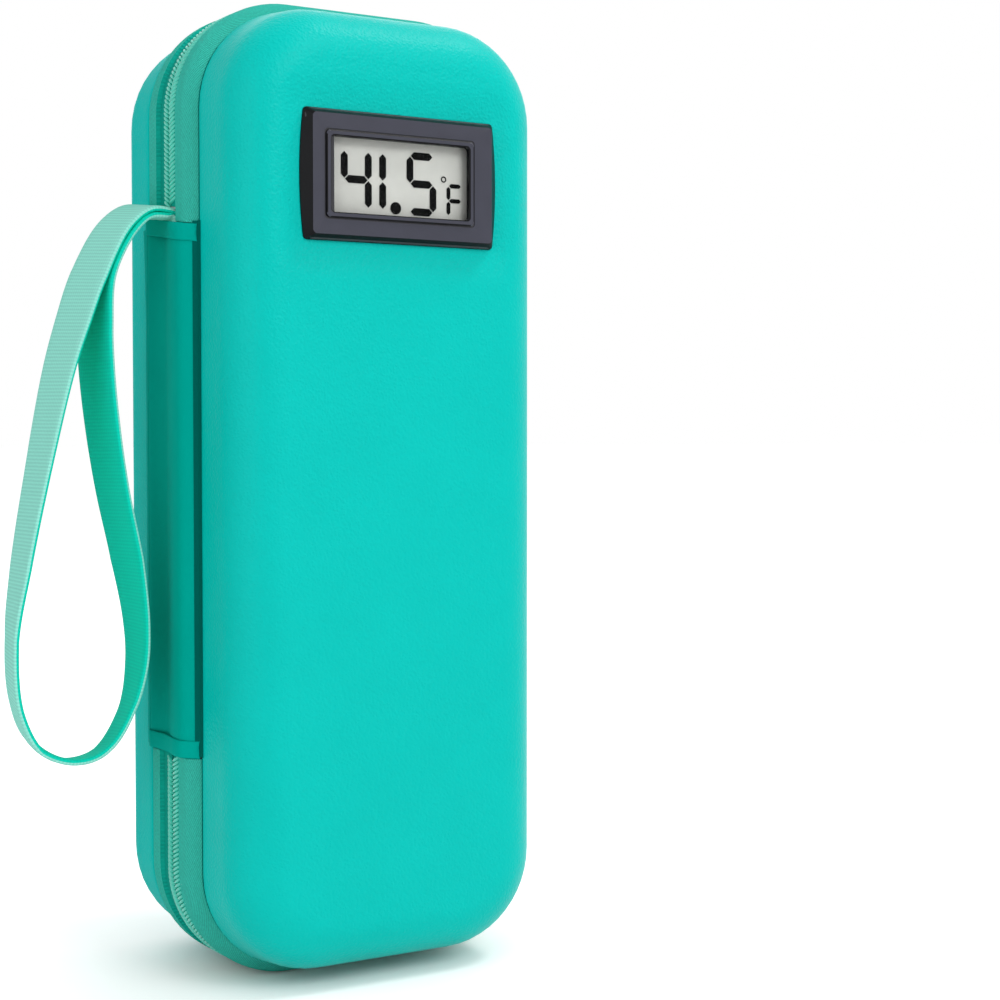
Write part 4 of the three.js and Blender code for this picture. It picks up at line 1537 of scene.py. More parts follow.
@dataclass
class Zip:
    """The zip round the top, the right side and the bottom: tapes, coil rows, sliders and pulls."""

    outline: Outline
    corner_steps: int = 20
    tape_wall: float = 0.9 * MM
    roll: float = 4 * MM
    roll_deg: float = 45
    roll_steps: int = 8
    tuck: float = 1.1 * MM
    groove: float = 0.8 * MM
    groove_width: float = 3.6 * MM
    # Width of the front tape's painted shade strip by the shell's rim
    seam_width: float = 0.45 * MM
    front_groove: float = 0.7 * MM
    ground_wall: float = 0.5 * MM
    ground_sink: float = -2.6
    ground_lap: float = 1.6 * MM
    pitch: float = 1.0 * MM
    stagger: float = 0.25
    tooth_height: float = 1.2 * MM
    tooth_length: float = 3.5 * MM
    tooth_share: float = 0.86
    tooth_sink: float = 0.45
    tooth_lean_deg: float = 26
    tooth_swell: float = 1.15
    tooth_taper: float = 0.85
    mesh_depth: float = 0.15 * MM
    slot: float = 1.2 * MM
    chain_start: float = 4.0 * MM
    end_gap: float = 0.15 * MM
    # The block that is taken out behind the spine, and the tilted one at its upper end
    cut_reach: float = 13 * MM
    cut_depth: float = 60 * MM
    cut_top: float = -4 * MM
    tilted_depth: float = 30 * MM
    tilted_height: float = 8 * MM
    slider_edge: float = 0.3 * MM
    pull_edge: float = 0.25 * MM

    def build(self) -> list[Piece]:
        """Makes every piece of the zip.

        Returns:
            The pieces.
        """
        halves = ((Side.FRONT, Body.LID), (Side.REAR, Body.REAR))
        pieces = [self._tape(side, body) for side, body in halves]
        pieces += [self._row(side, body) for side, body in halves]
        cast = (
            ("zip_slider_upper", Body.SLIDER_UPPER, self.slider_edge),
            ("zip_slider_lower", Body.SLIDER_LOWER, self.slider_edge),
            ("zip_pull_upper", Body.PULL_UPPER, self.pull_edge),
            ("zip_pull_lower", Body.PULL_LOWER, self.pull_edge),
        )
        for node, body, edge in cast:
            piece = refined(node, edge, 3)
            pieces.append(complete(piece, ENAMEL_TEAL, Slot.SLIDER, body, [node], angle=40))
        return pieces

    def _band(self, name: str, start_y: float, side: Side, steps: Steps) -> Piece:
        """A band of wall that rises from the outline.

        Args:
            name: The piece's name.
            start_y: The depth that it starts at.
            side: Which way it goes.
            steps: Inset and rise of each ring.

        Returns:
            The open band.
        """
        size = (2 * self.outline.half_width, self.outline.height)
        centre = Vector((0, start_y, size[1] / 2))
        piece = plate(name, size, self.outline.radius, centre, side, self.corner_steps)
        raise_in_steps(piece, steps)
        with editing(piece):
            pick(piece, "FACE", lambda face: len(face.verts) > 4)
            bpy.ops.mesh.delete(type="FACE")
        return piece

    def _tape(self, side: Side, body: Body) -> Piece:
        """One tape: the groove beside the coil, flat weave, and an edge rolled in to the shell.

        Args:
            side: Which half it belongs to.
            body: The body that it rides on.

        Returns:
            The tape.
        """
        node = "zip_tape_" + side.word
        name = node + "_woven"
        is_rear = side is Side.REAR
        coil_y, _ = side.depths(node)
        rim_y, _ = side.depths(side.word + "_shell")
        shell_low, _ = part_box(side.word + "_shell")
        groove = self.groove_width if is_rear else self.front_groove
        flat_y = coil_y + side.value * groove
        flat = abs(rim_y - flat_y) - self.roll
        sweep = math.radians(self.roll_deg)
        turns = [sweep * step / self.roll_steps for step in range(self.roll_steps + 1)]
        inset = (shell_low.z + self.tuck) / (1 - math.cos(sweep))
        rise = self.roll / math.sin(sweep)
        steps = [(0.0, flat / 2), (0.0, flat / 2)]
        for a, b in zip(turns, turns[1:]):
            steps.append((inset * (math.cos(a) - math.cos(b)), rise * (math.sin(b) - math.sin(a))))
        tape = self._band(name, flat_y, side, steps)
        if is_rear:
            dip = [(self.groove, self.groove), (0.0, groove - self.groove)]
            tape = join([tape, self._band("zip_ground", flat_y, Side.FRONT, dip)], name)
        tidy(tape)
        thicken(tape, self.tape_wall)
        self._cut_at_spine(tape, node)
        tidy(tape)
        lay_round(tape, self.outline)
        # The rear tape's groove beside the coil gets painted shade
        finishes = (CHEVRON_MINT, GROUND_SHADE_TEAL) if is_rear else (TAPE_MINT, CREVICE_SHADE_TEAL)
        # The front tape's strip by the rim gets painted shade for the crevice under the shell
        change_y = flat_y if is_rear else rim_y + self.seam_width
        paint_two(tape, finishes, lambda face: face.center.y < change_y)
        return complete(tape, TAPE_MINT, Slot.TAPE, body, [node], angle=40)

    def _cut_at_spine(self, piece: Piece, node: str) -> None:
        """Takes the stretch behind the spine out of a band.

        Args:
            piece: The band.
            node: The solid that has the same stretch cut out.
        """
        hem_low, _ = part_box("spine_hem_bottom")
        _, hem_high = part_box("spine_hem_top")
        low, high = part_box("spine_panel")
        left = -self.outline.half_width
        cut(
            piece,
            Vector((left - self.cut_reach, -self.cut_depth, hem_low.z - self.end_gap)),
            Vector((left + self.cut_reach, self.cut_depth, hem_high.z + self.cut_top)),
        )
        if node == "zip_tape_front":
            middle = (low.y + high.y) / 2
            top = hem_high.z + HEM_SHIFT + HEM_TILT / 2 + self.end_gap
        else:
            strap_low, strap_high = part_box("strap_root")
            middle = (strap_low.y + strap_high.y) / 2
            top = strap_high.z + self.end_gap
        slope = math.atan(HEM_TILT / (high.y - low.y))
        half = Vector((self.cut_reach, self.tilted_depth, self.tilted_height))
        depth = middle + self.tilted_height * math.sin(slope)
        centre = Vector((left, depth, top - self.tilted_height * math.cos(slope)))
        cut(piece, centre - half, centre + half, slope)

    def _tooth(self) -> Piece:
        """One loop of the coil, lying along y with its head at the zip's middle.

        Returns:
            The loop.
        """
        bpy.ops.mesh.primitive_uv_sphere_add(segments=8, ring_count=5, radius=0.5)
        tooth = named("coil_loop")
        with editing(tooth):
            pick(tooth, "VERT", lambda vert: vert.co.y > 0.2)
            bpy.ops.transform.resize(value=(self.tooth_taper, 1.0, self.tooth_swell))
            pick(tooth, "VERT", lambda vert: vert.co.y < -0.2)
            bpy.ops.transform.resize(value=(self.tooth_swell, 1.0, self.tooth_taper))
        return tooth

    def _loops(self, name: str, side: Side) -> Piece:
        """The coil's loops in a row along the outline, from above the spine round to below it.

        Args:
            name: The piece's name.
            side: Which half they belong to.

        Returns:
            The loops as one piece.
        """
        hem_low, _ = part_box("spine_hem_bottom")
        _, hem_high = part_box("spine_hem_top")
        rear_low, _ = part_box("zip_coil_rear")
        meet = self.tooth_length / 2 - self.mesh_depth
        middle = Vector((0, rear_low.y - self.slot / 2 + side.value * meet, 0))
        tooth = self._tooth()
        points = np.array([vertex.co for vertex in tooth.data.vertices])
        faces = [tuple(face.vertices) for face in tooth.data.polygons]
        bpy.data.objects.remove(tooth)
        start = hem_high.z + self.chain_start - self.outline.height / 2
        end = self.outline.length - (self.outline.height / 2 - hem_low.z) - self.end_gap
        slant = math.radians(self.tooth_lean_deg)
        inward = Vector((0, -side.value, 0)) * math.cos(slant)
        every: list[np.ndarray] = []
        rings: list[tuple[int, ...]] = []
        for index in range(int((end - start) / self.pitch)):
            along = start + (index + 0.5 - side.value * self.stagger) * self.pitch
            place, out = self.outline.at(along)
            long_way = inward - Vector((out.z, 0, -out.x)) * math.sin(slant)
            centre = place - out * (self.tooth_height * self.tooth_sink) + middle
            turn = np.array([
                list(out.cross(long_way) * self.pitch * self.tooth_share),
                list(long_way * self.tooth_length / math.cos(slant)),
                list(out * self.tooth_height),
            ])
            every.append(points @ turn + np.array(centre))
            rings += [tuple(i + index * len(points) for i in face) for face in faces]
        mesh = bpy.data.meshes.new(name)
        mesh.from_pydata(np.concatenate(every), [], rings)
        mesh.materials.append(COIL_MINT.material())
        return new_piece(name, mesh)

    def _row(self, side: Side, body: Body) -> Piece:
        """One row of coil loops on its ground strip.

        Args:
            side: Which half it belongs to.
            body: The body that it rides on.

        Returns:
            The row.
        """
        node = "zip_coil_" + side.word
        name = node + "_loops"
        loops = self._loops(name, side)
        seam_y, back_y = side.depths(node)
        rise = [(0.0, abs(back_y - seam_y) + self.ground_lap)]
        strip = self._band(node + "_ground", seam_y, side, rise)
        thicken(strip, self.ground_wall, self.ground_sink)
        self._cut_at_spine(strip, node)
        # The ground strip under the coil loops gets painted shade
        strip.data.materials.append(GROUND_SHADE_TEAL.material())
        tidy(strip)
        lay_round(strip, self.outline)
        row = join([loops, strip], name)
        with editing(row):
            bpy.ops.mesh.select_all(action="SELECT")
            bpy.ops.mesh.normals_make_consistent(inside=False)
        return complete(row, COIL_MINT, Slot.COIL, body, [node], angle=60)


@dataclass
class Spine:
    """The flexible panel that joins the halves on the left, with a folded hem at each end."""

    outline: Outline
    bulge: float = 0.6 * MM
    valley: float = 1.0 * MM
    wall: float = 1.2 * MM
    section_samples: int = 200
    across_steps: int = 60
    panel_rows: int = 48
    panel_edge: float = 0.25 * MM
    sway_start: float = 0.7
    hem_lift: float = 0.45 * MM
    hem_wall: float = 0.6 * MM
    hem_depth: float = 3.5 * MM
    hem_rows: int = 10
    hem_relief: float = 0.4
    hem_edge: float = 0.2 * MM
    facing_rows: int = 4
    facing_drop: float = 0.3 * MM
    under: float = 2.6 * MM
    dip: float = 0.7 * MM
    seam_width: float = 2.4 * MM
    seam_flare: float = 1.6 * MM
    flare_start: float = 0.86
    seam_lift: float = 0.45 * MM
    seam_lap: float = 1.3 * MM
    seam_rise: float = 0.45
    seam_draft_deg: float = 6
    ripple: float = 0.12 * MM
    ripple_turns: float = 37
    front_lift: float = 0.2 * MM
    front_lap: float = 1.0 * MM
    front_glue: float = 0.9 * MM
    front_fold: float = 0.3 * MM
    front_rise: float = 1.3
    front_draft: float = 0.09
    flap_margin: float = 0.4 * MM
    flap_wall: float = 0.15 * MM
    flap_columns: int = 14
    flap_rows: int = 40

    def build(self) -> list[Piece]:
        """Makes the panel, the two hems, the facing and the two sewn edges.

        Returns:
            The pieces.
        """
        return [
            self._panel(),
            self._hem("spine_hem_top", HEM_SHIFT, HEM_TILT),
            self._hem("spine_hem_bottom", 0.0, 0.0),
            self._facing(),
            self._seam(),
            self._front_fold(),
        ]

    def _section(self, relief: float) -> list[Vector]:
        """The panel's section, from the front rim to the rear rim.

        Args:
            relief: How much of the valley shows.

        Returns:
            Points with the share of the way across as x and the distance outwards as y.
        """
        front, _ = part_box("front_shell")
        rear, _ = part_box("rear_shell")
        points = [
            (0, -front.z),
            (0.06, -0.35 * front.z),
            (0.14, 0.6 * self.bulge),
            (0.28, self.bulge),
            (0.44, 0),
            (0.62, -relief * self.valley),
            (0.8, -relief * 0.5 * self.valley),
            (0.93, 0),
            (1, -0.6 * rear.z),
        ]
        return smooth_route([Vector((a, b, 0)) for a, b in points], self.section_samples)

    def _strip(
        self,
        name: str,
        heights: Sequence[float],
        lifts: Sequence[float],
        relief: float,
        wall: float,
        shift: float = 0.0,
        tilt: float = 0.0,
        sway: Sequence[float] = (),
    ) -> Piece:
        """A strip of the panel's section between heights.

        Args:
            name: The piece's name.
            heights: The heights of its rows of points.
            lifts: How far each row stands out from the section.
            relief: How much of the valley shows.
            wall: The strip's thickness.
            shift: How far it stands up at the front.
            tilt: How far it climbs from there to the rear.
            sway: The share of that climb that each row takes, or nothing where all take it.

        Returns:
            The closed strip.
        """
        low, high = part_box("spine_panel")
        section = self._section(relief)
        shares = [point.x for point in section]
        reaches = [point.y for point in section]
        last = len(heights) - 1

        def place(share: float, rise: float) -> tuple[float, float, float]:
            """Where a point of the strip lies.

            Args:
                share: The share of the way across.
                rise: The share of the way up.

            Returns:
                The point.
            """
            row = round(rise * last)
            out = float(np.interp(share, shares, reaches)) + lifts[row]
            climb = (shift + tilt * share) * (sway[row] if sway else 1.0)
            depth = low.y + share * (high.y - low.y)
            return -self.outline.half_width - out, depth, heights[row] + climb

        strip = sheet(name, self.across_steps, last, place)
        thicken(strip, wall)
        return strip

    @staticmethod
    def _sewn(strip: Piece, edge: float, nodes: Sequence[str]) -> Piece:
        """Rounds a strip's edges and finishes it.

        Args:
            strip: The closed strip.
            edge: The width of its broken edges.
            nodes: The solids that it stands for.

        Returns:
            The finished piece.
        """
        break_edges(strip, edge, 2, sharp_deg=50)
        tidy(strip)
        return complete(strip, SPINE_TEAL, Slot.SPINE, Body.SPINE, nodes, angle=50)

    def _panel(self) -> Piece:
        """The soft panel between the hems, which sways with the top hem.

        Returns:
            The panel.
        """
        low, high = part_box("spine_panel")
        tall = high.z - low.z
        under = [self.under, self.under / 2]
        heights = [low.z - reach for reach in under]
        heights += [low.z + tall * row / self.panel_rows for row in range(self.panel_rows + 1)]
        heights += [high.z + reach for reach in reversed(under)]
        tucked = [-self.dip] * len(under)
        lifts = [*tucked, *[0.0] * (self.panel_rows + 1), *tucked]
        shares = [(height - low.z) / tall - self.sway_start for height in heights]
        sway = [min(1.0, max(0.0, share) / (1 - self.sway_start)) for share in shares]
        panel = self._strip(
            "spine_panel_soft", heights, lifts, 1.0, self.wall, HEM_SHIFT, HEM_TILT, sway
        )
        return self._sewn(panel, self.panel_edge, ["spine_panel"])

    def _facing(self) -> Piece:
        """The layer behind the strap's ends, inside the top hem.

        Returns:
            The facing.
        """
        low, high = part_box("spine_hem_top")
        tall = high.z - self.facing_drop - low.z
        rows = range(self.facing_rows + 1)
        heights = [low.z + tall * row / self.facing_rows for row in rows]
        lifts = [-self.hem_depth] * len(rows)
        facing = self._strip("spine_hem_facing", heights, lifts, self.hem_relief, self.hem_wall)
        return self._sewn(facing, self.hem_edge, [])

    def _hem(self, node: str, shift: float, tilt: float) -> Piece:
        """A folded hem with a rounded outer edge.

        Args:
            node: The solid that it stands for.
            shift: How far it stands up at the front.
            tilt: How far it climbs from there to the rear.

        Returns:
            The hem.
        """
        low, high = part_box(node)
        turns = [math.pi * row / self.hem_rows for row in range(self.hem_rows + 1)]
        middle, half = (low.z + high.z) / 2, (high.z - low.z) / 2
        heights = [middle - half * math.cos(turn) for turn in turns]
        swells = [0.4 + 0.6 * max(0.0, math.sin(turn)) ** 0.5 for turn in turns]
        lifts = [self.hem_lift * swell for swell in swells]
        hem = self._strip(
            node + "_folded", heights, lifts, self.hem_relief, self.hem_wall, shift, tilt
        )
        return self._sewn(hem, self.hem_edge, [node])

    def _flap(self, name: str, spread: Callable[[float, float], tuple[float, float]]) -> Piece:
        """A thin upright strip beside the panel, from hem to hem.

        Args:
            name: The piece's name.
            spread: Gives the place across and the depth for shares of the width and the height.

        Returns:
            The closed strip.
        """
        low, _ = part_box("spine_hem_bottom")
        _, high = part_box("spine_hem_top")
        foot = low.z + self.flap_margin
        tall = high.z - low.z - 2 * self.flap_margin

        def place(share: float, rise: float) -> tuple[float, float, float]:
            """Where a point of the flap lies."""
            return (*spread(share, rise), foot + rise * tall)

        flap = sheet(name, self.flap_columns, self.flap_rows, place)
        thicken(flap, self.flap_wall)
        tidy(flap)
        return flap

    def _seam(self) -> Piece:
        """The panel's sewn edge, which bends with the rear fold and widens at its top.

        Returns:
            The edge.
        """
        rear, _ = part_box("rear_shell")
        wall_x = -self.outline.half_width + rear.z - self.seam_lift
        draft = math.tan(math.radians(self.seam_draft_deg))

        def spread(share: float, rise: float) -> tuple[float, float]:
            """Where the seam lies: over the panel's rear edge, then down the shell's wall.

            Args:
                share: The share of the way across.
                rise: The share of the way up.

            Returns:
                The place across and the depth.
            """
            widened = max(0.0, (rise - self.flare_start) / (1 - self.flare_start))
            flare = self.seam_flare * widened**1.5
            ripple = self.ripple * math.sin(rise * self.ripple_turns) * share
            past = share * (self.seam_lap + self.seam_width + flare) - self.seam_lap + ripple
            slope = draft if past > 0 else self.seam_rise
            return wall_x + past * slope + self.seam_lift * 0.5 * share**6, rear.y + past

        seam = self._flap("spine_seam_edge", spread)
        middle_z = self.outline.height / 2
        ends = [(wall_x, rear.y + past, middle_z) for past in (0.5 * MM, -0.5 * MM)]
        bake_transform(seam, Body.REAR.value, Body.SPINE.value, start=ends[0], end=ends[1])
        return complete(seam, SPINE_TEAL, Slot.SPINE, Body.REAR, [], angle=50)

    def _front_fold(self) -> Piece:
        """The panel's front edge, which bends with the front fold and is glued to the lid.

        Returns:
            The edge.
        """
        front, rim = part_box("front_shell")
        wall_x = -self.outline.half_width + front.z - self.front_lift

        def spread(share: float, rise: float) -> tuple[float, float]:
            """Where the edge lies at any height: inside the fold, then along the lid's wall.

            Args:
                share: The share of the way across.
                rise: The share of the way up.

            Returns:
                The place across and the depth.
            """
            past = self.front_lap - share * (self.front_lap + self.front_glue)
            climb = self.front_rise * max(0.0, past - self.front_fold)
            return wall_x - climb + self.front_draft * max(0.0, -past), rim.y + past

        fold = self._flap("spine_front_edge", spread)
        middle_z = self.outline.height / 2
        ends = [(wall_x, rim.y + past, middle_z) for past in (0.7 * MM, -0.6 * MM)]
        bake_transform(fold, Body.SPINE.value, Body.LID.value, start=ends[0], end=ends[1])
        # The fold's darker finish is painted shade
        return complete(fold, FOLD_SHADE_TEAL, Slot.SPINE, Body.SPINE, [], angle=50)


@dataclass
class Thermometer:
    """The display module in the lid: frame, lens, display, electronics and back cover."""

    frame_lift: float = 0.12 * MM
    frame_wall: float = 0.1 * MM
    seat: float = 0.1 * MM
    side_inset: float = 1.25 * MM
    side_lip: float = 0.55 * MM
    side_edge: float = 0.3 * MM
    # Faces turned further than this from the front get the painted shade
    side_slope: float = 0.8
    bow: float = 0.9 * MM
    bow_reach: float = 1.0 * MM
    bow_cuts: int = 9
    long_edge: float = 5 * MM
    mitre: float = 7 * MM
    corner: float = 0.7 * MM
    ring_size: tuple[float, float] = (37.6 * MM, 19.0 * MM)
    ring_width: float = 1.2 * MM
    ring_rise: float = 0.5 * MM
    ring_edge: float = 0.25 * MM
    ring_slope: float = 0.1 * MM
    ring_shift: float = -0.9 * MM
    groove: float = 0.35 * MM
    window_depth: float = 1.0 * MM
    # The reading: each digit's left edge with its lit bars, then the unit letter
    digits: tuple[tuple[float, str], ...] = (
        (-14.7 * MM, "bcfg"),
        (-11.05 * MM, "bc"),
        (1.95 * MM, "acdfg"),
    )
    digit_size: tuple[float, float] = (7.7 * MM, 14.2 * MM)
    stroke: float = 1.7 * MM
    bar_gap: float = 0.19 * MM
    foot_drop: float = 7.6 * MM
    unit: tuple[float, str] = (12.4 * MM, "aefg")
    unit_size: tuple[float, float] = (4.4 * MM, 7.7 * MM)
    unit_stroke: float = 0.95 * MM
    # The point and the degree ring: each one's place across and above the digits' feet
    point: tuple[float, float] = (-0.87 * MM, 1.35 * MM)
    point_radius: float = 1.37 * MM
    degree: tuple[float, float] = (11.6 * MM, 8.6 * MM)
    degree_radius: float = 0.7 * MM
    degree_stroke: float = 0.27 * MM
    ink_depth: float = 0.1 * MM
    ink_wall: float = 0.06 * MM

    def build(self) -> list[Piece]:
        """Makes the visible frame and the pieces behind it.

        Returns:
            The pieces.
        """
        return [
            self._frame(),
            self._reading(),
            self._dress("thermometer_bezel", COVER_BLACK, Slot.HOUSING),
            self._dress("display_lens", WINDOW_CLEAR, Slot.LENS),
            self._dress("lcd_panel", LCD_GREY, Slot.LCD),
            self._dress("lcd_connector_upper", STRIP_GREY, Slot.RUBBER),
            self._dress("lcd_connector_lower", STRIP_GREY, Slot.RUBBER),
            self._dress("circuit_board", MASK_GREEN, Slot.BOARD),
            self._dress("battery_contact_left", STEEL_GREY, Slot.STEEL, 0.05 * MM),
            self._dress("battery_contact_right", STEEL_GREY, Slot.STEEL, 0.05 * MM),
            self._dress("button_cell_left", STEEL_GREY, Slot.STEEL, 0.3 * MM),
            self._dress("button_cell_right", STEEL_GREY, Slot.STEEL, 0.3 * MM),
            self._dress("battery_bridge", STEEL_GREY, Slot.STEEL, 0.08 * MM),
            self._dress("unit_switch", COVER_BLACK, Slot.HOUSING),
            self._dress("temperature_sensor", STEEL_GREY, Slot.STEEL, 0.2 * MM),
            self._dress("retaining_clip_left", COVER_BLACK, Slot.HOUSING),
            self._dress("retaining_clip_right", COVER_BLACK, Slot.HOUSING),
            self._dress("thermometer_back_cover", COVER_BLACK, Slot.HOUSING),
            self._dress("battery_door", COVER_BLACK, Slot.HOUSING, body=Body.DOOR),
            self._dress("unit_button", STRIP_GREY, Slot.HOUSING, body=Body.BUTTON),
        ]

    @staticmethod
    def _dress(
        node: str, finish: Finish, slot: Slot, edge: float = 0.12 * MM, body: Body = Body.LID
    ) -> Piece:
        """A solid of the module with its edges broken and its own finish.

        Args:
            node: The solid's name.
            finish: Its surface finish.
            slot: The record's material slot.
            edge: The width of the broken edges.
            body: The body that it rides on.

        Returns:
            The dressed piece.
        """
        return complete(refined(node, edge), finish, slot, body, [node], angle=40)

    def _frame(self) -> Piece:
        """The black frame round the display, with its groove and raised ring.

        Returns:
            The frame.
        """
        low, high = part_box("thermometer_bezel")
        shell_low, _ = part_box("front_shell")
        base_y = shell_low.y + self.seat
        size = (high.x - low.x + 2 * self.frame_lift, high.z - low.z + 2 * self.frame_lift)
        centre = Vector(((low.x + high.x) / 2, base_y, (low.z + high.z) / 2))
        piece = plate("thermometer_frame", size, 0.0, centre, Side.FRONT)
        rise = base_y - low.y + self.frame_lift
        to_ring = (size[1] - self.ring_size[1]) / 2 - self.side_inset - self.groove
        wide = size[0] / 2 - self.side_inset - to_ring
        outer = [
            (0.0, self.side_lip),
            (self.side_inset * 0.8, rise - self.side_lip - self.side_edge),
            (self.side_inset * 0.2, self.side_edge),
            (to_ring, 0.0),
        ]
        inner = [
            (self.ring_slope, -self.ring_rise),
            (self.groove - 2 * self.ring_slope, 0.0),
            (self.ring_slope, 1.6 * self.ring_rise),
            (self.ring_edge, 0.4 * self.ring_rise),
            (self.ring_width - 2 * self.ring_edge, 0.0),
            (self.ring_edge, -0.6 * self.ring_rise),
            (self.ring_slope, -self.window_depth),
        ]
        with editing(piece):
            pick_all("FACE")
            step_in(outer)
            stretch = (self.ring_size[0] / 2 + self.groove) / wide
            bpy.ops.transform.resize(value=(stretch, 1, 1))
            bpy.ops.transform.translate(value=(self.ring_shift, 0, 0))
            step_in(inner)
            bpy.ops.mesh.delete(type="FACE")
            pick(piece, "EDGE", self._is_mitre)
            bpy.ops.mesh.bevel(offset=self.corner, segments=4, affect="EDGES", profile=0.5)
            self._bow_sides(piece, centre, size)
        modify(piece, "SOLIDIFY", thickness=self.frame_wall, offset=-1, use_even_offset=False)
        tidy(piece)
        # The frame's side walls get painted shade, and its face keeps the plastic's own grey
        finishes = (BEZEL_BLACK, SIDE_SHADE_BLACK)
        paint_two(piece, finishes, lambda face: abs(face.normal.y) < self.side_slope)
        return complete(piece, BEZEL_BLACK, Slot.HOUSING, Body.LID, [], angle=25)

    def _is_mitre(self, edge: bmesh.types.BMEdge) -> bool:
        """Whether an edge runs from ring to ring at one of the frame's corners."""
        run = edge.verts[0].co - edge.verts[1].co
        return len(edge.link_faces) == 2 and run.length < self.mitre

    def _bow_sides(self, piece: Piece, centre: Vector, size: tuple[float, float]) -> None:
        """Bows the feet of the frame's left and right sides outwards.

        Args:
            piece: The frame in edit mode.
            centre: The middle of its foot.
            size: Its width and height.
        """
        shape = bmesh.from_edit_mesh(piece.data)
        long_edges = [edge for edge in shape.edges if edge.calc_length() > self.long_edge]
        bmesh.ops.subdivide_edges(
            shape, edges=long_edges, cuts=self.bow_cuts, use_grid_fill=True
        )
        for vert in shape.verts:
            off = vert.co - centre
            if off.y > -self.bow_reach and abs(off.x) > size[0] / 2 - self.bow_reach:
                share = min(1.0, abs(off.z) / (size[1] / 2))
                vert.co.x += math.copysign(self.bow * (1 - share**2), off.x)
        bmesh.update_edit_mesh(piece.data)

    def _bar(self, x: float, z: float, length: float, upright: bool, width: float) -> Piece:
        """One bar of a digit, pointed at both ends.

        Args:
            x: The bar's middle across.
            z: The bar's middle height.
            length: Its length between points.
            upright: Whether it stands.
            width: Its width.

        Returns:
            The flat bar.
        """
        tip = width / math.sqrt(3)
        bar = disc("bar", 6, tip, self._inked(x, z), 0.0 if upright else math.pi / 2)
        axis = 2 if upright else 0
        middle = (x, 0, z)[axis]
        moves = {1.0: length / 2 - tip, 0.5: length / 2 - width / 2 - tip / 2}
        with editing(bar):
            for share, move in moves.items():
                for way in (-1, 1):
                    spot = middle + way * share * tip
                    pick(bar, "VERT", lambda vert: abs(vert.co[axis] - spot) < 0.1 * tip)
                    shift = (0, 0, way * move) if upright else (way * move, 0, 0)
                    bpy.ops.transform.translate(value=shift)
        return bar

    def _inked(self, x: float, z: float) -> Vector:
        """A place on the display's face, a little in front of it."""
        low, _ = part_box("lcd_panel")
        return Vector((x, low.y - self.ink_depth, z))

    def _digit(
        self, left: float, foot: float, size: tuple[float, float], bars: str, stroke: float
    ) -> list[Piece]:
        """The lit bars of one digit.

        Args:
            left: The digit's left edge.
            foot: The digit's lower edge.
            size: Its width and height.
            bars: The lit bars' letters, from a at the top round to f, with g in the middle.
            stroke: The bars' width.

        Returns:
            The flat bars.
        """
        width, height = size
        half = height / 2
        inner = stroke / 2
        middle, right = left + width / 2, left + width - inner
        upper, lower = foot + half * 1.5 - inner / 2, foot + half * 0.5 + inner / 2
        across = width - stroke - 2 * self.bar_gap
        up = (height - stroke) / 2 - 2 * self.bar_gap
        spots = {
            "a": (middle, foot + height - inner, across, False),
            "g": (middle, foot + half, across, False),
            "d": (middle, foot + inner, across, False),
            "f": (left + inner, upper, up, True),
            "b": (right, upper, up, True),
            "e": (left + inner, lower, up, True),
            "c": (right, lower, up, True),
        }
        return [self._bar(*spots[bar], stroke) for bar in bars]

    def _reading(self) -> Piece:
        """The display's reading as thin inked bars, a point, a degree ring and a unit letter.

        Returns:
            The reading.
        """
        low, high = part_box("lcd_panel")
        foot = (low.z + high.z) / 2 - self.foot_drop
        marks = []
        for left, bars in self.digits:
            marks += self._digit(left, foot, self.digit_size, bars, self.stroke)
        left, bars = self.unit
        marks += self._digit(left, foot, self.unit_size, bars, self.unit_stroke)
        x, z = self.point
        marks.append(disc("point", 32, self.point_radius, self._inked(x, foot + z)))
        x, z = self.degree
        ring = disc("ring", 24, self.degree_radius, self._inked(x, foot + z))
        with editing(ring):
            pick_all("FACE")
            bpy.ops.mesh.inset(thickness=self.degree_stroke)
            bpy.ops.mesh.delete(type="FACE")
        reading = join([*marks, ring], "display_digits")
        modify(reading, "SOLIDIFY", thickness=self.ink_wall, offset=0)
        tidy(reading)
        return complete(reading, INK_BLACK, Slot.LCD, Body.LID, [], angle=30)


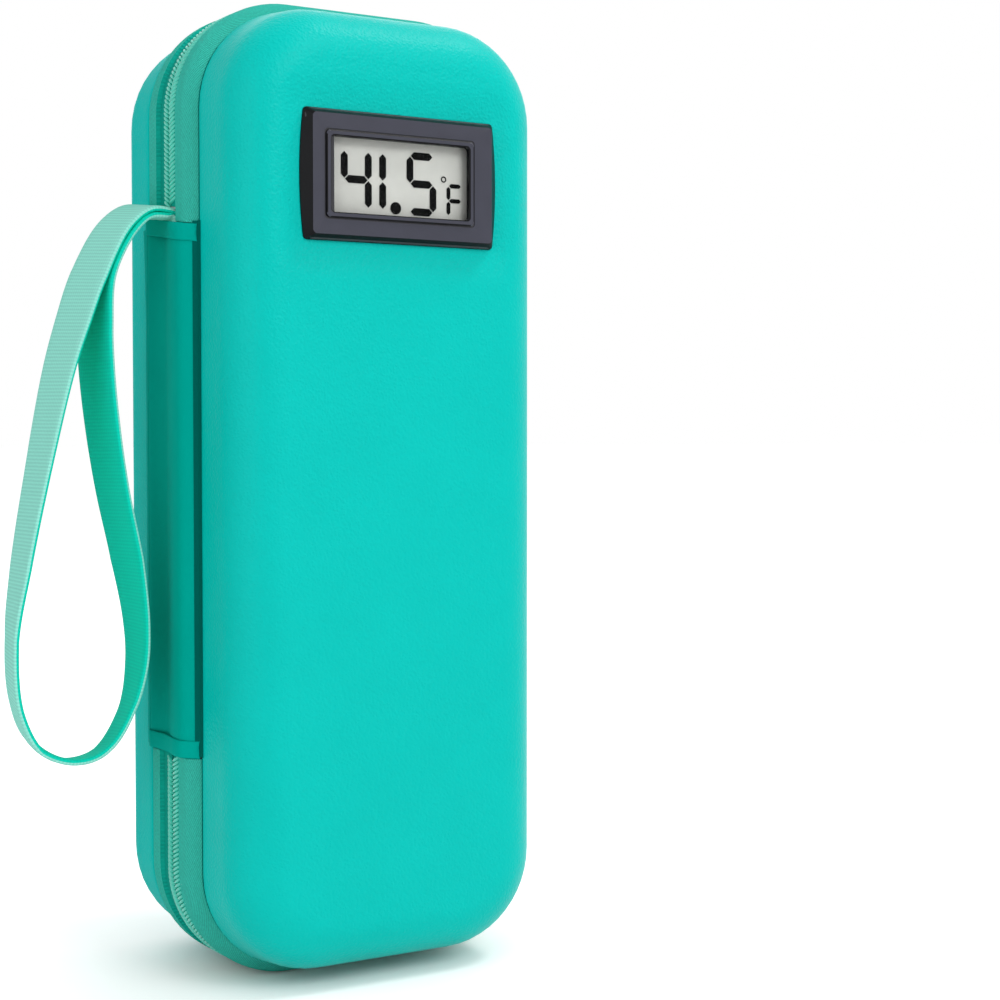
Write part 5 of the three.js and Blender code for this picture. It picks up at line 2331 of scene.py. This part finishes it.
@dataclass
class ColdPack:
    """A gel pack and the two elastic bands that hold it in one half."""

    side: Side
    body: Body
    edge: float = 2.4 * MM
    edge_steps: int = 6
    dome: float = 0.5 * MM
    dome_ring: float = 4.5 * MM
    dome_shares: tuple[float, ...] = (0.4, 0.28, 0.18, 0.1, 0.04)
    end_flat: float = 0.6 * MM
    end_steps: int = 24
    band_wall: float = 1.0 * MM
    band_bend: float = 2.2 * MM
    band_lean: float = 0.3 * MM
    band_shoulder: float = 0.35
    band_stops: tuple[float, ...] = (-18 * MM, -9 * MM, 0.0, 9 * MM, 18 * MM)
    band_samples: int = 90

    def build(self) -> list[Piece]:
        """Makes the pack and its bands."""
        word = self.side.word
        return [self._pack(), self._band(word + "_band_upper"), self._band(word + "_band_lower")]

    def _half_pack(self, name: str, side: Side) -> Piece:
        """One face of the pack, with its rounded edge and low crown.

        Args:
            name: The piece's name.
            side: Which way it faces.

        Returns:
            The open face.
        """
        low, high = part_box(self.side.word + "_ice_pack")
        size = (high.x - low.x, high.z - low.z)
        depth = (high.y - low.y) / 2 - self.edge - self.dome
        corner = size[0] / 2 - self.end_flat
        piece = plate(name, size, corner, (low + high) / 2, side, self.end_steps)
        crown = [(self.dome_ring, self.dome * share) for share in self.dome_shares]
        raise_in_steps(piece, [(0.0, depth), *round_over(self.edge, self.edge_steps), *crown])
        return piece

    def _pack(self) -> Piece:
        """The filled pack.

        Returns:
            The pack.
        """
        node = self.side.word + "_ice_pack"
        halves = [self._half_pack(node + "_a", Side.FRONT), self._half_pack(node + "_b", Side.REAR)]
        pack = join(halves, node + "_filled")
        tidy(pack)
        return complete(pack, GEL_BLUE, Slot.PACK, self.body, [node], angle=50)

    def _band(self, node: str) -> Piece:
        """One elastic band with bent ends that go down beside the pack.

        Args:
            node: The solid that it stands for.

        Returns:
            The band.
        """
        low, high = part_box(node)
        middle_z = (low.z + high.z) / 2
        crest, foot = self.side.depths(node)
        over = crest + self.side.value * self.band_wall / 2
        reach = high.x - self.band_wall / 2
        bend = self.side.value * self.band_bend
        corner = [
            Vector((-reach, foot, middle_z)),
            Vector((-reach, foot - bend, middle_z)),
            Vector((-reach + self.band_lean, over + self.band_shoulder * bend, middle_z)),
            Vector((-reach + self.band_bend, over, middle_z)),
        ]
        far = [Vector((-p.x, p.y, p.z)) for p in reversed(corner)]
        flat = [Vector((x, over, middle_z)) for x in self.band_stops]
        path = smooth_route([*corner, *flat, *far], self.band_samples)
        across = [Vector((0, 0, 1))] * len(path)
        ribbon = Ribbon(high.z - low.z, self.band_wall)
        band = ribbon.sweep(node + "_elastic", path, across)
        return complete(band, BAND_BLACK, Slot.ELASTIC, self.body, [node], angle=60)


def main() -> None:
    """Builds the studio and every sub-assembly in order."""
    logging.basicConfig(level=logging.INFO, format="%(message)s")
    _, coil_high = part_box("zip_coil_front")
    outline = Outline(coil_high.x, coil_high.z, CASE_CORNER)
    Studio().build()
    WristStrap().build()
    for side, body in ((Side.REAR, Body.REAR), (Side.FRONT, Body.LID)):
        MouldedHalf(side, body, outline).build()
        ColdPack(side, body).build()
    Zip(outline).build()
    Spine(outline).build()
    Thermometer().build()


if __name__ == "__main__":
    main()
